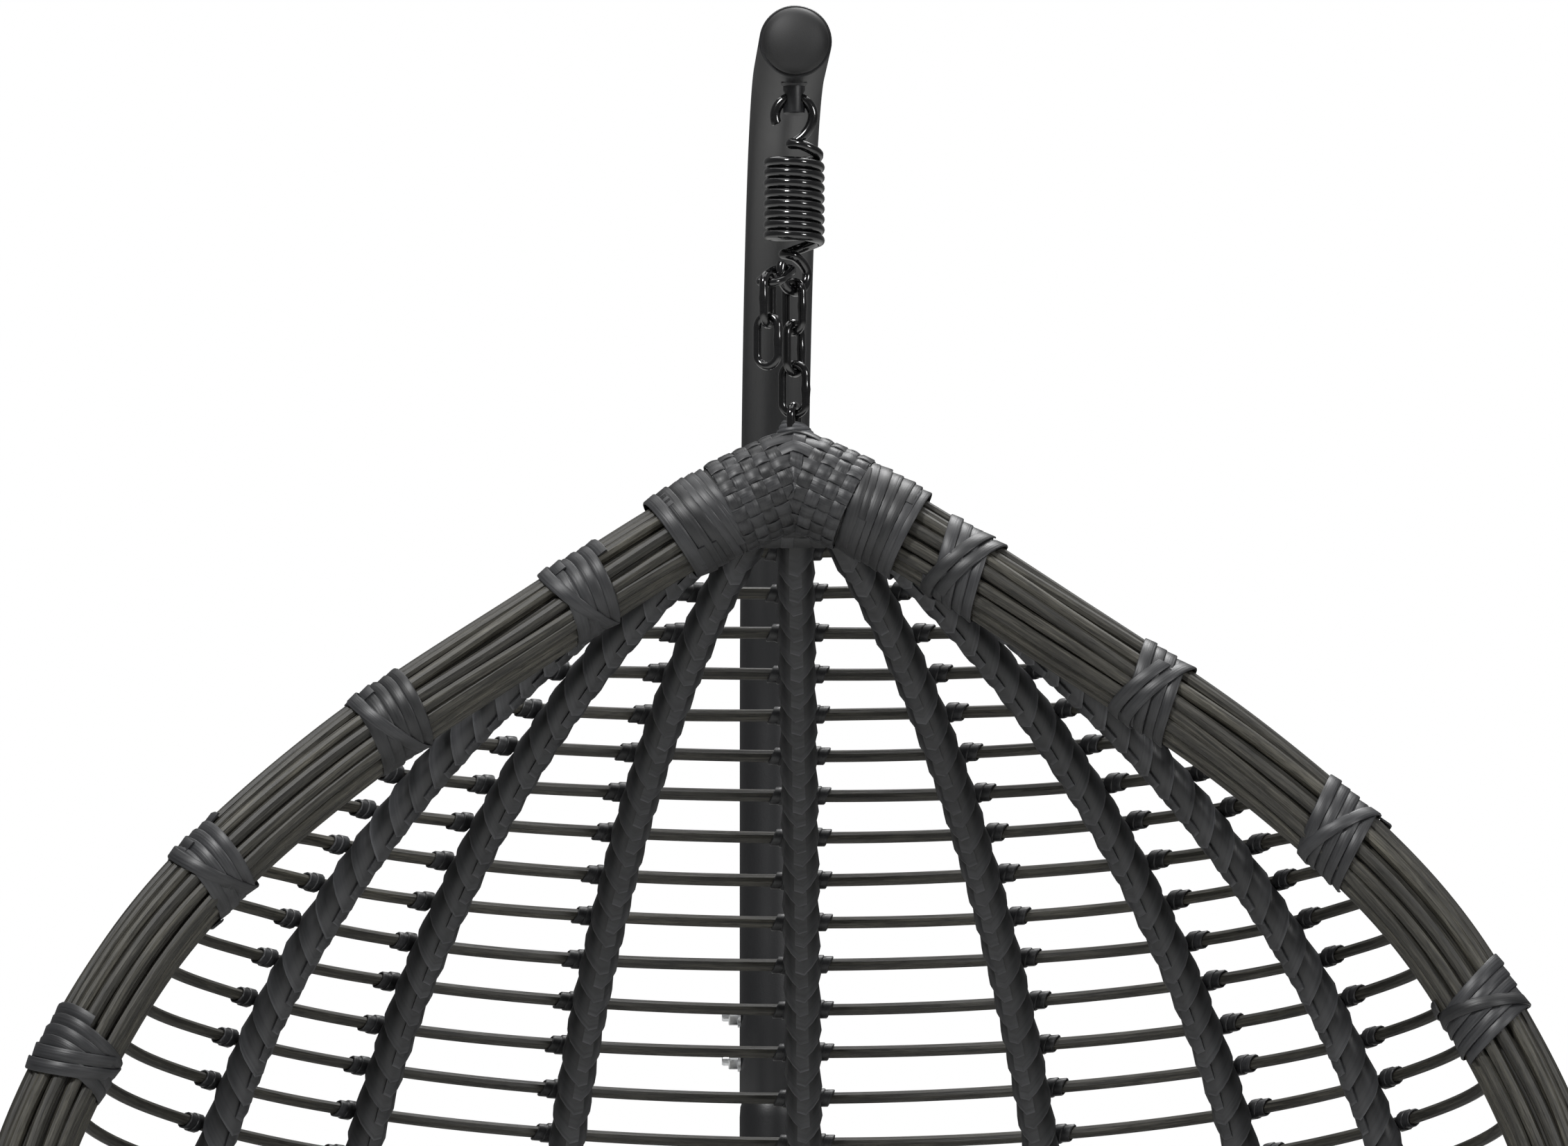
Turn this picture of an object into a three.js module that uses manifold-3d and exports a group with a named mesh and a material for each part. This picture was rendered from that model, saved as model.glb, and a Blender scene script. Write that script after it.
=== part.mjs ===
// A hanging egg chair: a floor ring with a bent pole, an extension spring and a short chain, and a
// teardrop basket of bound ribs and thin canes. Millimetres, +Z up, the front faces -Y. The origin is
// on the floor in the middle of the ring, straight below the hang axis.
import * as THREE from "three";
import { mergeVertices } from "three/addons/utils/BufferGeometryUtils.js";
import Module from "manifold-3d";

const wasm = await Module();
wasm.setup();

// ---- Driving dimensions ----
const gap = 0.3; // kept between pieces that touch

const stand = {
  height: 1909, // floor to the top of the arm
  tubeOd: 46,
  wall: 2,
  bend: 400, // centreline radius of the bent pole
  poleInset: 8, // the ring's line to the pole's axis
  overhang: 35, // hang axis to the arm's open end
  jointHeight: 1236,
  neckLength: 92,
  ringRadius: 516,
  ringTubeOd: 38,
  sleeveWall: 3,
  sleevePast: 39, // the pole's side to the end of a ring sleeve
  ringEnd: 3.5, // half the space between the ends of the two ring tubes
  spineOd: 32,
  cupDepth: 120,
  cupFloor: 5,
  footHeight: 8, // floor to the underside of the ring
  footRadius: 24,
};

stand.reach = stand.ringRadius - stand.poleInset; // hang axis to the pole's axis
stand.sleeveHalfLength = stand.tubeOd / 2 + stand.sleevePast;

const bolt = { radius: 4, head: 7.5, headHeight: 6.5, hole: 4.5, overrun: 5, reach: 28 };
const jointBoltHeights = [27, 57]; // above the joint line

const stud = { radius: 7, drop: 19, hole: 5.6, holeAboveEnd: 11, holeDrop: 1.2 };

const spring = { wire: 6.7, od: 39, turns: 9, hookRadius: 12, topRise: 35, footRise: 28.5, hookTurn: 45 };

const chain = { wire: 5, length: 37, width: 20, slackShare: 0.15, loopLength: 40 };
const linkTurns = [-48, 52, -12]; // each main link's turn about the vertical
const loopTurn = 72;

const basket = {
  turn: 2.8, // hangs turned by this angle
  lean: 9, // the rim's plane leans forward at the foot
  core: 8,
  bundle: 25,
  band: 2.5,
  bandLength: 38,
  rib: 12,
  cane: 4,
  rungSlack: 2.8, // canes to the ribs that they cross
  strand: 2.5,
  wrap: 5,
  wrapHalf: 82, // half length of the wrap, along the rim
};
const ribShares = [0.36, 0.65, 0.84]; // each side rib's share of the half width
const rungPitch = 32.3; // along the centre rib
const firstRung = 71;
const rungCount = 48;
const rungsPerBelt = 8;
const bandPitch = 146; // along the rim
const bandShift = { left: 6, right: -22 }; // the two sides are wound out of step
const bandsPerSide = 6;

// The rim: distance down its plane from the apex, and half width.
const rimOutline = [
  [0, 0], [30, 60], [92, 156], [179, 281], [272, 381], [362, 441], [460, 481], [575, 498],
  [690, 488], [800, 455], [905, 402], [1000, 325], [1080, 232], [1136, 120], [1155, 0],
];
// The centre rib's line, back and down from the apex.
const backOutline = [
  [0, 0], [56, -62], [130, -150], [212, -252], [300, -396], [346, -505], [378, -610], [395, -715],
  [390, -815], [362, -915], [308, -1010], [228, -1098], [122, -1157], [0, -1178], [-108, -1165],
  [-181, -1141],
];

const cushion = { radius: 238, middle: 50, thickness: 100, edge: 48, crown: 14, slope: 0.1, lift: 9 };

// ---- Materials ----
const finish = (color, roughness, metalness) =>
  new THREE.MeshStandardMaterial({ color, roughness, metalness });
const blackPaint = finish(0x232428, 0.45, 0.3);
const springBlack = finish(0x141416, 0.25, 0.5);
const zinc = finish(0xa9abad, 0.35, 0.9);
const plugBlack = finish(0x1c1c1d, 0.7, 0);
const rubber = finish(0x151515, 0.9, 0);
const strip = finish(0x2b2c30, 0.5, 0);
const canes = finish(0x3a3833, 0.7, 0);
const cloth = finish(0xb9b3a6, 0.95, 0);

// ---- Helpers ----
const radians = THREE.MathUtils.degToRad;
const at = (x, y, z) => new THREE.Vector3(x, y, z);

// A curve that goes through each of its points, one sweep step to the next.
class Route extends THREE.Curve {
  constructor(points) {
    super();
    this.points = points;
    this.last = points.length - 1;
  }
  getPoint(t) {
    return this.points[Math.round(t * this.last)].clone();
  }
  getPointAt(t) {
    return this.getPoint(t);
  }
  getSpacedPoints() {
    return this.points.map((point) => point.clone());
  }
  getTangentAt(t) {
    const i = Math.round(t * this.last);
    const before = this.points[Math.max(i - 1, 0)];
    const after = this.points[Math.min(i + 1, this.last)];
    return after.clone().sub(before).normalize();
  }
}

// A link's centreline: two half circles joined by straight sides, long way up and down.
class LinkLine extends THREE.Curve {
  constructor(length, width) {
    super();
    this.radius = width / 2;
    this.straight = length - width;
  }
  getPoint(t) {
    const half = Math.PI * this.radius + this.straight;
    const along = (t % 1) * 2 * half;
    const side = along < half ? 1 : -1;
    const walked = along < half ? along : along - half;
    if (walked < this.straight) return at(side * this.radius, 0, side * (walked - this.straight / 2));
    const angle = (walked - this.straight) / this.radius;
    return at(
      side * this.radius * Math.cos(angle), 0, side * (this.straight / 2 + this.radius * Math.sin(angle)),
    );
  }
}

function polygon(radius, sides) {
  const corners = [];
  for (let i = 0; i < sides; i += 1) {
    const angle = (2 * Math.PI * i) / sides;
    corners.push(new THREE.Vector2(radius * Math.cos(angle), radius * Math.sin(angle)));
  }
  return corners;
}

const disc = (radius, sides) => new THREE.Shape(polygon(radius, sides));

function annulus(outer, inner, sides) {
  const shape = disc(outer, sides);
  shape.holes.push(new THREE.Path(polygon(inner, sides)));
  return shape;
}

// Half of an annulus. `side` is 1 or -1, and the flat faces stay half a gap from the middle.
function halfAnnulus(outer, inner, side, sides) {
  const corners = [];
  for (let i = 0; i <= sides; i += 1) {
    const angle = (Math.PI * i) / sides;
    corners.push([outer * Math.cos(angle), outer * Math.sin(angle) + gap / 2]);
  }
  for (let i = sides; i >= 0; i -= 1) {
    const angle = (Math.PI * i) / sides;
    corners.push([inner * Math.cos(angle), inner * Math.sin(angle) + gap / 2]);
  }
  return new THREE.Shape(corners.map(([x, y]) => new THREE.Vector2(x, side * y)));
}

function sweep(section, points) {
  return new THREE.ExtrudeGeometry(section, {
    steps: points.length - 1, bevelEnabled: false, extrudePath: new Route(points),
  });
}

// A turned piece about Z, from a profile of [radius, height].
function turned(profile, segments) {
  const points = profile.map(([radius, height]) => new THREE.Vector2(radius, height));
  return new THREE.LatheGeometry(points, segments).rotateX(Math.PI / 2);
}

function cylinder(radius, from, to, sides) {
  const length = from.distanceTo(to);
  const turn = new THREE.Quaternion().setFromUnitVectors(at(0, 1, 0), to.clone().sub(from).normalize());
  const middle = from.clone().add(to).multiplyScalar(0.5);
  return new THREE.CylinderGeometry(radius, radius, length, sides)
    .applyQuaternion(turn)
    .translate(middle.x, middle.y, middle.z);
}

// A geometry as a solid whose faces point out.
function solid(geometry) {
  const bare = geometry.index ? geometry.toNonIndexed() : geometry.clone();
  bare.deleteAttribute("normal");
  bare.deleteAttribute("uv");
  const merged = mergeVertices(bare, 1e-3);
  const triVerts = new Uint32Array(merged.index.array);
  const vertProperties = new Float32Array(merged.attributes.position.array);
  const made = new wasm.Manifold(new wasm.Mesh({ numProp: 3, vertProperties, triVerts }));
  if (made.volume() >= 0) return made;
  for (let i = 0; i < triVerts.length; i += 3) {
    [triVerts[i + 1], triVerts[i + 2]] = [triVerts[i + 2], triVerts[i + 1]];
  }
  return new wasm.Manifold(new wasm.Mesh({ numProp: 3, vertProperties, triVerts }));
}

function surface(body) {
  const mesh = body.getMesh();
  const positions = [];
  for (let i = 0; i < mesh.numVert; i += 1) {
    positions.push(...mesh.vertProperties.subarray(i * mesh.numProp, i * mesh.numProp + 3));
  }
  const geometry = new THREE.BufferGeometry();
  geometry.setAttribute("position", new THREE.Float32BufferAttribute(positions, 3));
  geometry.setIndex(new THREE.BufferAttribute(mesh.triVerts, 1));
  geometry.computeVertexNormals();
  return geometry;
}

function joined(...geometries) {
  return geometries.map(solid).reduce((sum, part) => sum.add(part));
}

function cutBy(body, ...tools) {
  return tools.map(solid).reduce((rest, tool) => rest.subtract(tool), body);
}

const chair = new THREE.Group();

function piece(name, shape, material, group = chair) {
  const body = shape instanceof THREE.BufferGeometry ? solid(shape) : shape;
  const mesh = new THREE.Mesh(surface(body), material);
  mesh.name = name;
  group.add(mesh);
  return mesh;
}

// ---- Stand ----
const tubeRadius = stand.tubeOd / 2;
const tubeBore = tubeRadius - stand.wall;
const ringTube = stand.ringTubeOd / 2;
const ringHeight = stand.footHeight + ringTube;
const sleeveRadius = ringTube + gap + stand.sleeveWall;
const armHeight = stand.height - tubeRadius;
const cupBottom = ringHeight + ringTube + gap + stand.cupFloor;
const ringSides = 8;
const poleSides = 12;

const ringStep = 15; // degrees between the corners of the ring's line

function ringPoint(degrees) {
  const corner = (turn) => at(
    stand.ringRadius * Math.cos(radians(turn)), stand.ringRadius * Math.sin(radians(turn)), ringHeight,
  );
  const before = Math.floor(degrees / ringStep) * ringStep;
  return corner(before).lerp(corner(before + ringStep), (degrees - before) / ringStep);
}

// A stretch of the ring's line. Every sleeve, space and saddle shares its corners.
function ringArc(from, to) {
  const points = [ringPoint(from)];
  for (let turn = Math.floor(from / ringStep + 1) * ringStep; turn < to; turn += ringStep) {
    if (turn - from > 0.5 && to - turn > 0.5) points.push(ringPoint(turn));
  }
  points.push(ringPoint(to));
  return points;
}

const sleeveDegrees = THREE.MathUtils.radToDeg(stand.sleeveHalfLength / stand.ringRadius);
const sleeveArc = (middle) => ringArc(middle - sleeveDegrees, middle + sleeveDegrees);
const sleeveArcPast = (middle) => ringArc(middle - 1.5 * sleeveDegrees, middle + 1.5 * sleeveDegrees);
const sleeveSpace = (middle) => sweep(disc(ringTube + gap, ringSides), sleeveArcPast(middle));

function boltGeometry(reachLeft, reachRight) {
  const { radius, head, headHeight, overrun } = bolt;
  return turned([
    [0, -reachLeft - headHeight - overrun], [radius, -reachLeft - headHeight - overrun],
    [radius, -reachLeft - headHeight], [head, -reachLeft - headHeight], [head, -reachLeft],
    [radius, -reachLeft], [radius, reachRight], [head, reachRight],
    [head, reachRight + headHeight], [0, reachRight + headHeight],
  ], 6);
}

function makeRing() {
  const end = THREE.MathUtils.radToDeg(stand.ringEnd / stand.ringRadius);
  const tube = annulus(ringTube, ringTube - stand.wall, ringSides);
  const pinHoles = [90, 270].flatMap((middle) =>
    [-1, 1].map((side) => {
      const { x, y } = ringPoint(middle + side * sleeveDegrees * 0.6);
      const top = ringHeight + sleeveRadius + 2;
      return { x, y, drill: cylinder(bolt.hole, at(x, y, ringHeight), at(x, y, top), 8) };
    }),
  );
  const drills = pinHoles.map((hole) => hole.drill);
  piece("base_ring_right", cutBy(solid(sweep(tube, ringArc(-90 + end, 90 - end))), ...drills), blackPaint);
  piece("base_ring_left", cutBy(solid(sweep(tube, ringArc(90 + end, 270 - end))), ...drills), blackPaint);
  const frontSleeve = solid(sweep(disc(sleeveRadius, ringSides), sleeveArc(270)));
  piece("ring_sleeve", cutBy(frontSleeve, sleeveSpace(270), ...drills), blackPaint);
  const names = ["socket_bolt_right", "socket_bolt_left", "sleeve_bolt_left", "sleeve_bolt_right"];
  pinHoles.forEach((hole, i) => {
    const screw = turned([
      [0, ringTube - bolt.reach], [bolt.radius, ringTube - bolt.reach],
      [bolt.radius, sleeveRadius + gap], [bolt.head, sleeveRadius + gap],
      [bolt.head, sleeveRadius + gap + bolt.headHeight], [0, sleeveRadius + gap + bolt.headHeight],
    ], 6);
    piece(names[i], screw, zinc).position.set(hole.x, hole.y, ringHeight);
  });
  return drills;
}

function makeSocket(drills) {
  const cupRadius = tubeRadius + gap + stand.sleeveWall;
  const top = cupBottom + stand.cupDepth;
  const cup = cylinder(cupRadius, at(0, stand.reach, ringHeight), at(0, stand.reach, top), poleSides);
  const bore = cylinder(
    tubeRadius + gap, at(0, stand.reach, cupBottom), at(0, stand.reach, top + 10), poleSides,
  );
  const body = joined(sweep(disc(sleeveRadius, ringSides), sleeveArc(90)), cup);
  piece("pole_socket", cutBy(body, sleeveSpace(90), bore, ...drills), blackPaint);
}

function makeSpine() {
  const half = stand.ringRadius;
  const tube = sweep(
    annulus(stand.spineOd / 2, stand.spineOd / 2 - stand.wall, ringSides),
    [at(0, -half, ringHeight), at(0, half, ringHeight)],
  );
  const ends = [90, 270].map((middle) => sweep(disc(sleeveRadius + gap, ringSides), sleeveArcPast(middle)));
  const cup = cylinder(
    tubeRadius + 2 * gap + stand.sleeveWall, at(0, stand.reach, 0), at(0, stand.reach, cupBottom), poleSides,
  );
  piece("ring_spine", cutBy(solid(tube), ...ends, cup), blackPaint);
}

function makeFeet() {
  const saddle = stand.footHeight + ringTube * 0.55;
  [45, 135, 225, 315].forEach((angle, i) => {
    const x = stand.ringRadius * Math.cos(radians(angle));
    const y = stand.ringRadius * Math.sin(radians(angle));
    const pad = turned([
      [0, 0], [stand.footRadius - 3, 0], [stand.footRadius, 3], [stand.footRadius - 2, saddle], [0, saddle],
    ], 12).translate(x, y, 0);
    const hollow = sweep(disc(ringTube + gap, ringSides), ringArc(angle - 6, angle + 6));
    piece("foot_" + (i + 1), cutBy(solid(pad), hollow), rubber);
  });
}

function boltDrill(height) {
  return cylinder(bolt.hole, at(-60, stand.reach, height), at(60, stand.reach, height), 8);
}

function makePole() {
  const neckRadius = tubeBore - gap;
  const neckBore = neckRadius - stand.wall;
  const foot = cupBottom + gap;
  const line = stand.jointHeight;
  const drills = jointBoltHeights.map((rise) => boltDrill(line + rise));
  const lower = turned([
    [tubeBore, foot], [tubeRadius, foot], [tubeRadius, line - 10], [tubeRadius - 1, line - 2],
    [neckRadius, line - 2], [neckRadius, line + stand.neckLength], [neckBore, line + stand.neckLength],
    [neckBore, line - 12], [tubeBore, line - 20], [tubeBore, foot],
  ], poleSides).translate(0, stand.reach, 0);
  piece("pole_lower", cutBy(solid(lower), ...drills), blackPaint);

  const bendSteps = 9;
  const route = [at(0, stand.reach, line), at(0, stand.reach, armHeight - stand.bend - 1)];
  for (let i = 1; i < bendSteps; i += 1) {
    const angle = (Math.PI / 2) * (i / bendSteps);
    const y = stand.reach - stand.bend + stand.bend * Math.cos(angle);
    route.push(at(0, y, armHeight - stand.bend + stand.bend * Math.sin(angle)));
  }
  route.push(at(0, stand.reach - stand.bend - 1, armHeight), at(0, -stand.overhang, armHeight));
  const studHole = cylinder(
    stud.radius + gap, at(0, 0, armHeight - tubeRadius - 5), at(0, 0, armHeight - tubeBore + 5), poleSides,
  );
  const upper = solid(sweep(annulus(tubeRadius, tubeBore, poleSides), route));
  piece("pole_upper", cutBy(upper, ...drills, studHole), blackPaint);

  jointBoltHeights.forEach((rise, i) => {
    const screw = boltGeometry(tubeRadius + gap, tubeRadius + gap).rotateY(Math.PI / 2);
    piece("pole_bolt_" + (i + 1), screw, zinc).position.set(0, stand.reach, line + rise);
  });
}

function makeArmEnd() {
  const rim = tubeRadius - 1.9;
  const plug = turned([
    [0, -24], [tubeBore - gap, -24], [tubeBore - gap, 0.3], [rim, 0.3], [rim, 2.5],
    [rim - 2.5, 6], [rim - 8, 9.5], [rim - 14, 11], [0, 11.5],
  ], poleSides).rotateX(Math.PI / 2);
  piece("arm_plug", plug, plugBlack).position.set(0, -stand.overhang, armHeight);

  const top = tubeRadius + tubeBore - gap;
  const pin = turned([
    [0, -stud.drop], [stud.radius - 1, -stud.drop], [stud.radius, -stud.drop + 1],
    [stud.radius, top - 6], [0, top - 6],
  ], poleSides);
  const middle = hookHeight - stud.holeDrop - studBase;
  const hole = cylinder(stud.hole, at(-20, 0, middle), at(20, 0, middle), 10);
  piece("hook_stud", cutBy(solid(pin), hole), blackPaint).position.set(0, 0, studBase);
}

// ---- Suspension ----
const studBase = armHeight - tubeRadius; // the arm's underside
const hookHeight = studBase - stud.drop + stud.holeAboveEnd;
const coilRadius = (spring.od - spring.wire) / 2;
const coilTop = hookHeight - spring.topRise;
const coilBottom = coilTop - spring.turns * (spring.wire + 0.05);
const lowerHook = coilBottom - spring.footRise; // the lower hook's wire centre at its lowest
const linkPitch = chain.length - (2 + chain.slackShare) * chain.wire;
const firstLink = lowerHook + spring.wire / 2 + gap + chain.wire - chain.length / 2;
const lastLink = firstLink - 2 * linkPitch;
const loopTop = lastLink - linkPitch + chain.length / 2;
const apexHeight = loopTop - chain.loopLength - basket.core - gap;

// One hook, from the end of the coil over to its free end. `up` is 1 for the top hook.
function hookPoints(start, up, turn) {
  const centre = (up > 0 ? spring.topRise : spring.footRise) - spring.hookRadius;
  const points = [];
  const place = (x, rise) => {
    const angle = radians(turn);
    points.push(at(x * Math.cos(angle), x * Math.sin(angle), start + up * rise));
  };
  place(coilRadius - 1.5, 5);
  place(coilRadius - 3.5, 11);
  for (let degrees = -12; degrees <= 206; degrees += 21.8) {
    const angle = radians(degrees);
    place(spring.hookRadius * Math.cos(angle), centre + spring.hookRadius * Math.sin(angle));
  }
  return points;
}

function makeSpring() {
  const perTurn = 8;
  const coil = [];
  const sweepTurns = spring.turns - 1 + spring.hookTurn / 360;
  const steps = Math.round(sweepTurns * perTurn);
  const first = coilTop - spring.wire / 2;
  const last = coilBottom + spring.wire / 2;
  for (let i = 0; i <= steps; i += 1) {
    const angle = 2 * Math.PI * sweepTurns * (i / steps);
    const height = first + (last - first) * (i / steps);
    coil.push(at(coilRadius * Math.cos(angle), coilRadius * Math.sin(angle), height));
  }
  const upper = hookPoints(coilTop - spring.wire / 2, 1, 0);
  const lower = hookPoints(coilBottom + spring.wire / 2, -1, spring.hookTurn);
  const rise = spring.wire / 2;
  [upper, lower].forEach((points, i) => {
    points.slice(2).forEach((point) => {
      point.z += i ? -rise : rise;
    });
  });
  const wire = [...upper.reverse(), ...coil, ...lower];
  piece("spring", sweep(disc(spring.wire / 2, 5), wire), springBlack);
}

function linkGeometry(length) {
  const line = new LinkLine(length - chain.wire, chain.width - chain.wire);
  return new THREE.TubeGeometry(line, 14, chain.wire / 2, 5, true);
}

function makeChain() {
  linkTurns.forEach((turn, i) => {
    const link = piece("chain_link_" + (i + 1), linkGeometry(chain.length), springBlack);
    link.position.set(0, 0, firstLink - i * linkPitch);
    link.rotation.z = radians(turn);
  });
  const loop = piece("hanger_loop", linkGeometry(chain.loopLength), springBlack);
  loop.position.set(0, 0, loopTop - chain.loopLength / 2);
  loop.rotation.z = radians(loopTurn);
}

// The free tail: the first link lies over the lower hook's left limb, and two more hang from it.
function makeTail() {
  const limbTurn = radians(spring.hookTurn);
  const hookCentre = lowerHook + spring.hookRadius;
  const limb = at(-spring.hookRadius * Math.cos(limbTurn), -spring.hookRadius * Math.sin(limbTurn), hookCentre);
  const along = at(-0.35, -0.85, -0.39).normalize();
  const across = at(0, 0, 1).cross(along).normalize();
  const normal = across.clone().cross(along).normalize();
  const inside = chain.length / 2 - chain.wire;
  const centre = limb.clone().addScaledVector(along, inside - spring.wire / 2 - 2 * gap);
  const first = piece("tail_link_1", linkGeometry(chain.length), springBlack);
  first.quaternion.setFromRotationMatrix(new THREE.Matrix4().makeBasis(across, normal, along));
  first.position.copy(centre);
  const hung = centre.clone().addScaledVector(along, inside + chain.wire / 2);
  hung.z += chain.wire + 2 * gap;
  const hang = Math.atan2(along.y, along.x);
  [0, 1].forEach((i) => {
    const link = piece("tail_link_" + (i + 2), linkGeometry(chain.length), springBlack);
    link.position.set(hung.x, hung.y, hung.z - (chain.length - chain.wire) / 2 - i * linkPitch);
    link.rotation.z = hang + i * radians(82);
  });
}

// ---- Basket ----
const frame = new THREE.Group();
frame.position.set(0, 0, apexHeight);
frame.rotation.z = -radians(basket.turn);
chair.add(frame);

const lean = radians(basket.lean);
const rimSide = new THREE.CatmullRomCurve3(
  rimOutline.map(([down, half]) => at(half, -down * Math.sin(lean), -down * Math.cos(lean))),
  false, "catmullrom", 0.5,
);
const backLine = new THREE.CatmullRomCurve3(backOutline.map(([back, up]) => at(0, back, up)));
rimSide.arcLengthDivisions = 600;
backLine.arcLengthDivisions = 600;
const rimLength = rimSide.getLength();
const backLength = backLine.getLength();

// Near the apex the canes meet the rim further along than they cross the centre rib.
const fanLead = 1.17;
const fanReach = 0.13;
const rimShare = (t) => Math.min(1, t + fanLead * t * Math.exp(-t / fanReach));

// The woven surface: t from apex to foot, share from -1 at the left rim to 1 at the right rim.
function shell(t, share) {
  const rim = rimSide.getPointAt(rimShare(t));
  const back = backLine.getPointAt(t);
  const depth = Math.sqrt(Math.max(0, 1 - share * share));
  return at(rim.x * share, rim.y + (back.y - rim.y) * depth, rim.z + (back.z - rim.z) * depth);
}

function outward(t, share) {
  const step = 0.002;
  const bound = THREE.MathUtils.clamp(share, -0.995, 0.995);
  const down = shell(Math.min(t + step, 1), bound).sub(shell(Math.max(t - step, 0), bound));
  const round = shell(t, bound + step).sub(shell(t, bound - step));
  return round.cross(down).normalize();
}

const lifted = (t, share, lift) => shell(t, share).addScaledVector(outward(t, share), lift);
const rungLift = basket.rib + basket.rungSlack + basket.cane;

function rimDistance(point) {
  let nearest = Infinity;
  for (let i = 0; i <= 120; i += 1) {
    const rim = rimSide.getPointAt(i / 120);
    nearest = Math.min(nearest, rim.distanceTo(at(Math.abs(point.x), point.y, point.z)));
  }
  return nearest;
}

// Corners of the rim's line, as distances along it from the apex: close together where it bends most.
const rimEnd = rimLength - 1;
const rimCorners = [0, 16, 34, 56, 84, 120, 176, 230];
for (let corner = 2 * bandPitch; corner < rimEnd - 20; corner += bandPitch / 2) rimCorners.push(corner);
rimCorners.push(rimEnd);

// The rim's line lies flat in X and Z here. The group that holds its pieces leans forward.
function rimPoint(along) {
  const walked = Math.abs(along);
  const i = Math.max(1, rimCorners.findIndex((corner) => corner >= walked - 1e-6));
  const [before, after] = [rimCorners[i - 1], rimCorners[i]].map((corner) =>
    rimSide.getPointAt(corner / rimLength).applyAxisAngle(at(1, 0, 0), lean));
  const point = before.lerp(after, (walked - rimCorners[i - 1]) / (rimCorners[i] - rimCorners[i - 1]));
  return at(Math.sign(along) * point.x, 0, point.z);
}

const shortest = 4; // a corner nearer than this to the end of a stretch is left out

// A stretch of the rim's line. Every band and sleeve shares its corners.
function rimRoute(from, to) {
  const inner = [...rimCorners.slice(1).map((corner) => -corner).reverse(), ...rimCorners];
  const kept = inner.filter((corner) => corner > from + shortest && corner < to - shortest);
  return [from, ...kept, to].map(rimPoint);
}

const rimPlane = new THREE.Group();
rimPlane.rotation.x = -lean;
frame.add(rimPlane);
const bundleSides = 8;
const bundleSpace = basket.bundle + 2 * gap;

function makeRim() {
  const route = rimRoute(-rimEnd, rimEnd);
  piece("rim_core", sweep(disc(basket.core, 6), route), blackPaint, rimPlane);
  const sides = { rim_canes_rear: 1, rim_canes_front: -1 };
  Object.entries(sides).forEach(([name, side]) => {
    const shape = halfAnnulus(basket.bundle, basket.core + 3 * gap, -side, bundleSides / 2);
    piece(name, cutBy(solid(sweep(shape, route)), loopSlot().rotateX(lean)), canes, rimPlane);
  });
}

// The slot that the hanger loop stands in, from the rim's core up through the canes and the wrap.
function loopSlot() {
  return new THREE.BoxGeometry(chain.width + 3, chain.wire + 3, 60)
    .rotateZ(radians(loopTurn + basket.turn))
    .translate(0, 0, 30 + basket.core);
}

function makeBands() {
  const section = annulus(bundleSpace + basket.band, bundleSpace, bundleSides);
  const half = basket.bandLength / 2;
  for (let i = 1; i <= bandsPerSide; i += 1) {
    const right = i * bandPitch + bandShift.right;
    const left = -i * bandPitch - bandShift.left;
    piece("rim_band_left_" + i, sweep(section, rimRoute(left - half, left + half)), strip, rimPlane);
    piece("rim_band_right_" + i, sweep(section, rimRoute(right - half, right + half)), strip, rimPlane);
  }
}

// A patch of the woven surface with a thickness, as one closed solid.
function patch(tFrom, tTo, shareTo, thickness, rows, columns) {
  const points = [];
  [thickness / 2, -thickness / 2].forEach((lift) => {
    for (let i = 0; i <= rows; i += 1) {
      for (let j = 0; j <= columns; j += 1) {
        const point = lifted(tFrom + ((tTo - tFrom) * i) / rows, shareTo * ((2 * j) / columns - 1), lift);
        points.push(point.x, point.y, point.z);
      }
    }
  });
  const wide = columns + 1;
  const layer = wide * (rows + 1);
  const index = [];
  const quad = (a, b, c, d) => index.push(a, b, c, a, c, d);
  for (let i = 0; i < rows; i += 1) {
    for (let j = 0; j < columns; j += 1) {
      const corner = i * wide + j;
      quad(corner, corner + 1, corner + wide + 1, corner + wide);
      quad(layer + corner, layer + corner + wide, layer + corner + wide + 1, layer + corner + 1);
    }
  }
  const edge = [];
  for (let j = 0; j < columns; j += 1) edge.push(j);
  for (let i = 0; i < rows; i += 1) edge.push(i * wide + columns);
  for (let j = columns; j > 0; j -= 1) edge.push(rows * wide + j);
  for (let i = rows; i > 0; i -= 1) edge.push(i * wide);
  edge.forEach((a, i) => {
    const b = edge[(i + 1) % edge.length];
    quad(a, layer + a, layer + b, b);
  });
  const geometry = new THREE.BufferGeometry();
  geometry.setAttribute("position", new THREE.Float32BufferAttribute(points, 3));
  geometry.setIndex(index);
  return geometry;
}

const ribStart = firstRung / backLength;

function makeApex() {
  const half = basket.wrapHalf;
  const leaning = (section, reach) => sweep(section, rimRoute(-reach, reach)).rotateX(-lean);
  const sleeve = leaning(disc(bundleSpace + basket.wrap, bundleSides), half);
  const space = leaning(disc(bundleSpace, bundleSides), half + 20);
  const crown = patch(0.012, ribStart - 9 / backLength, 0.8, 2 * basket.rib, 3, 6);
  piece("apex_wrap", cutBy(joined(sleeve, crown), space, loopSlot()), strip, frame);
}

// The rim's largest half width, and how far along the rim that is.
const rimSamples = rimSide.getSpacedPoints(200);
const widest = Math.max(...rimSamples.map((point) => point.x));
const widestAlong = (rimSamples.findIndex((point) => point.x === widest) / 200) * rimLength;
const ribStep = 0.011;
const ribSkip = 4;

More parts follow.
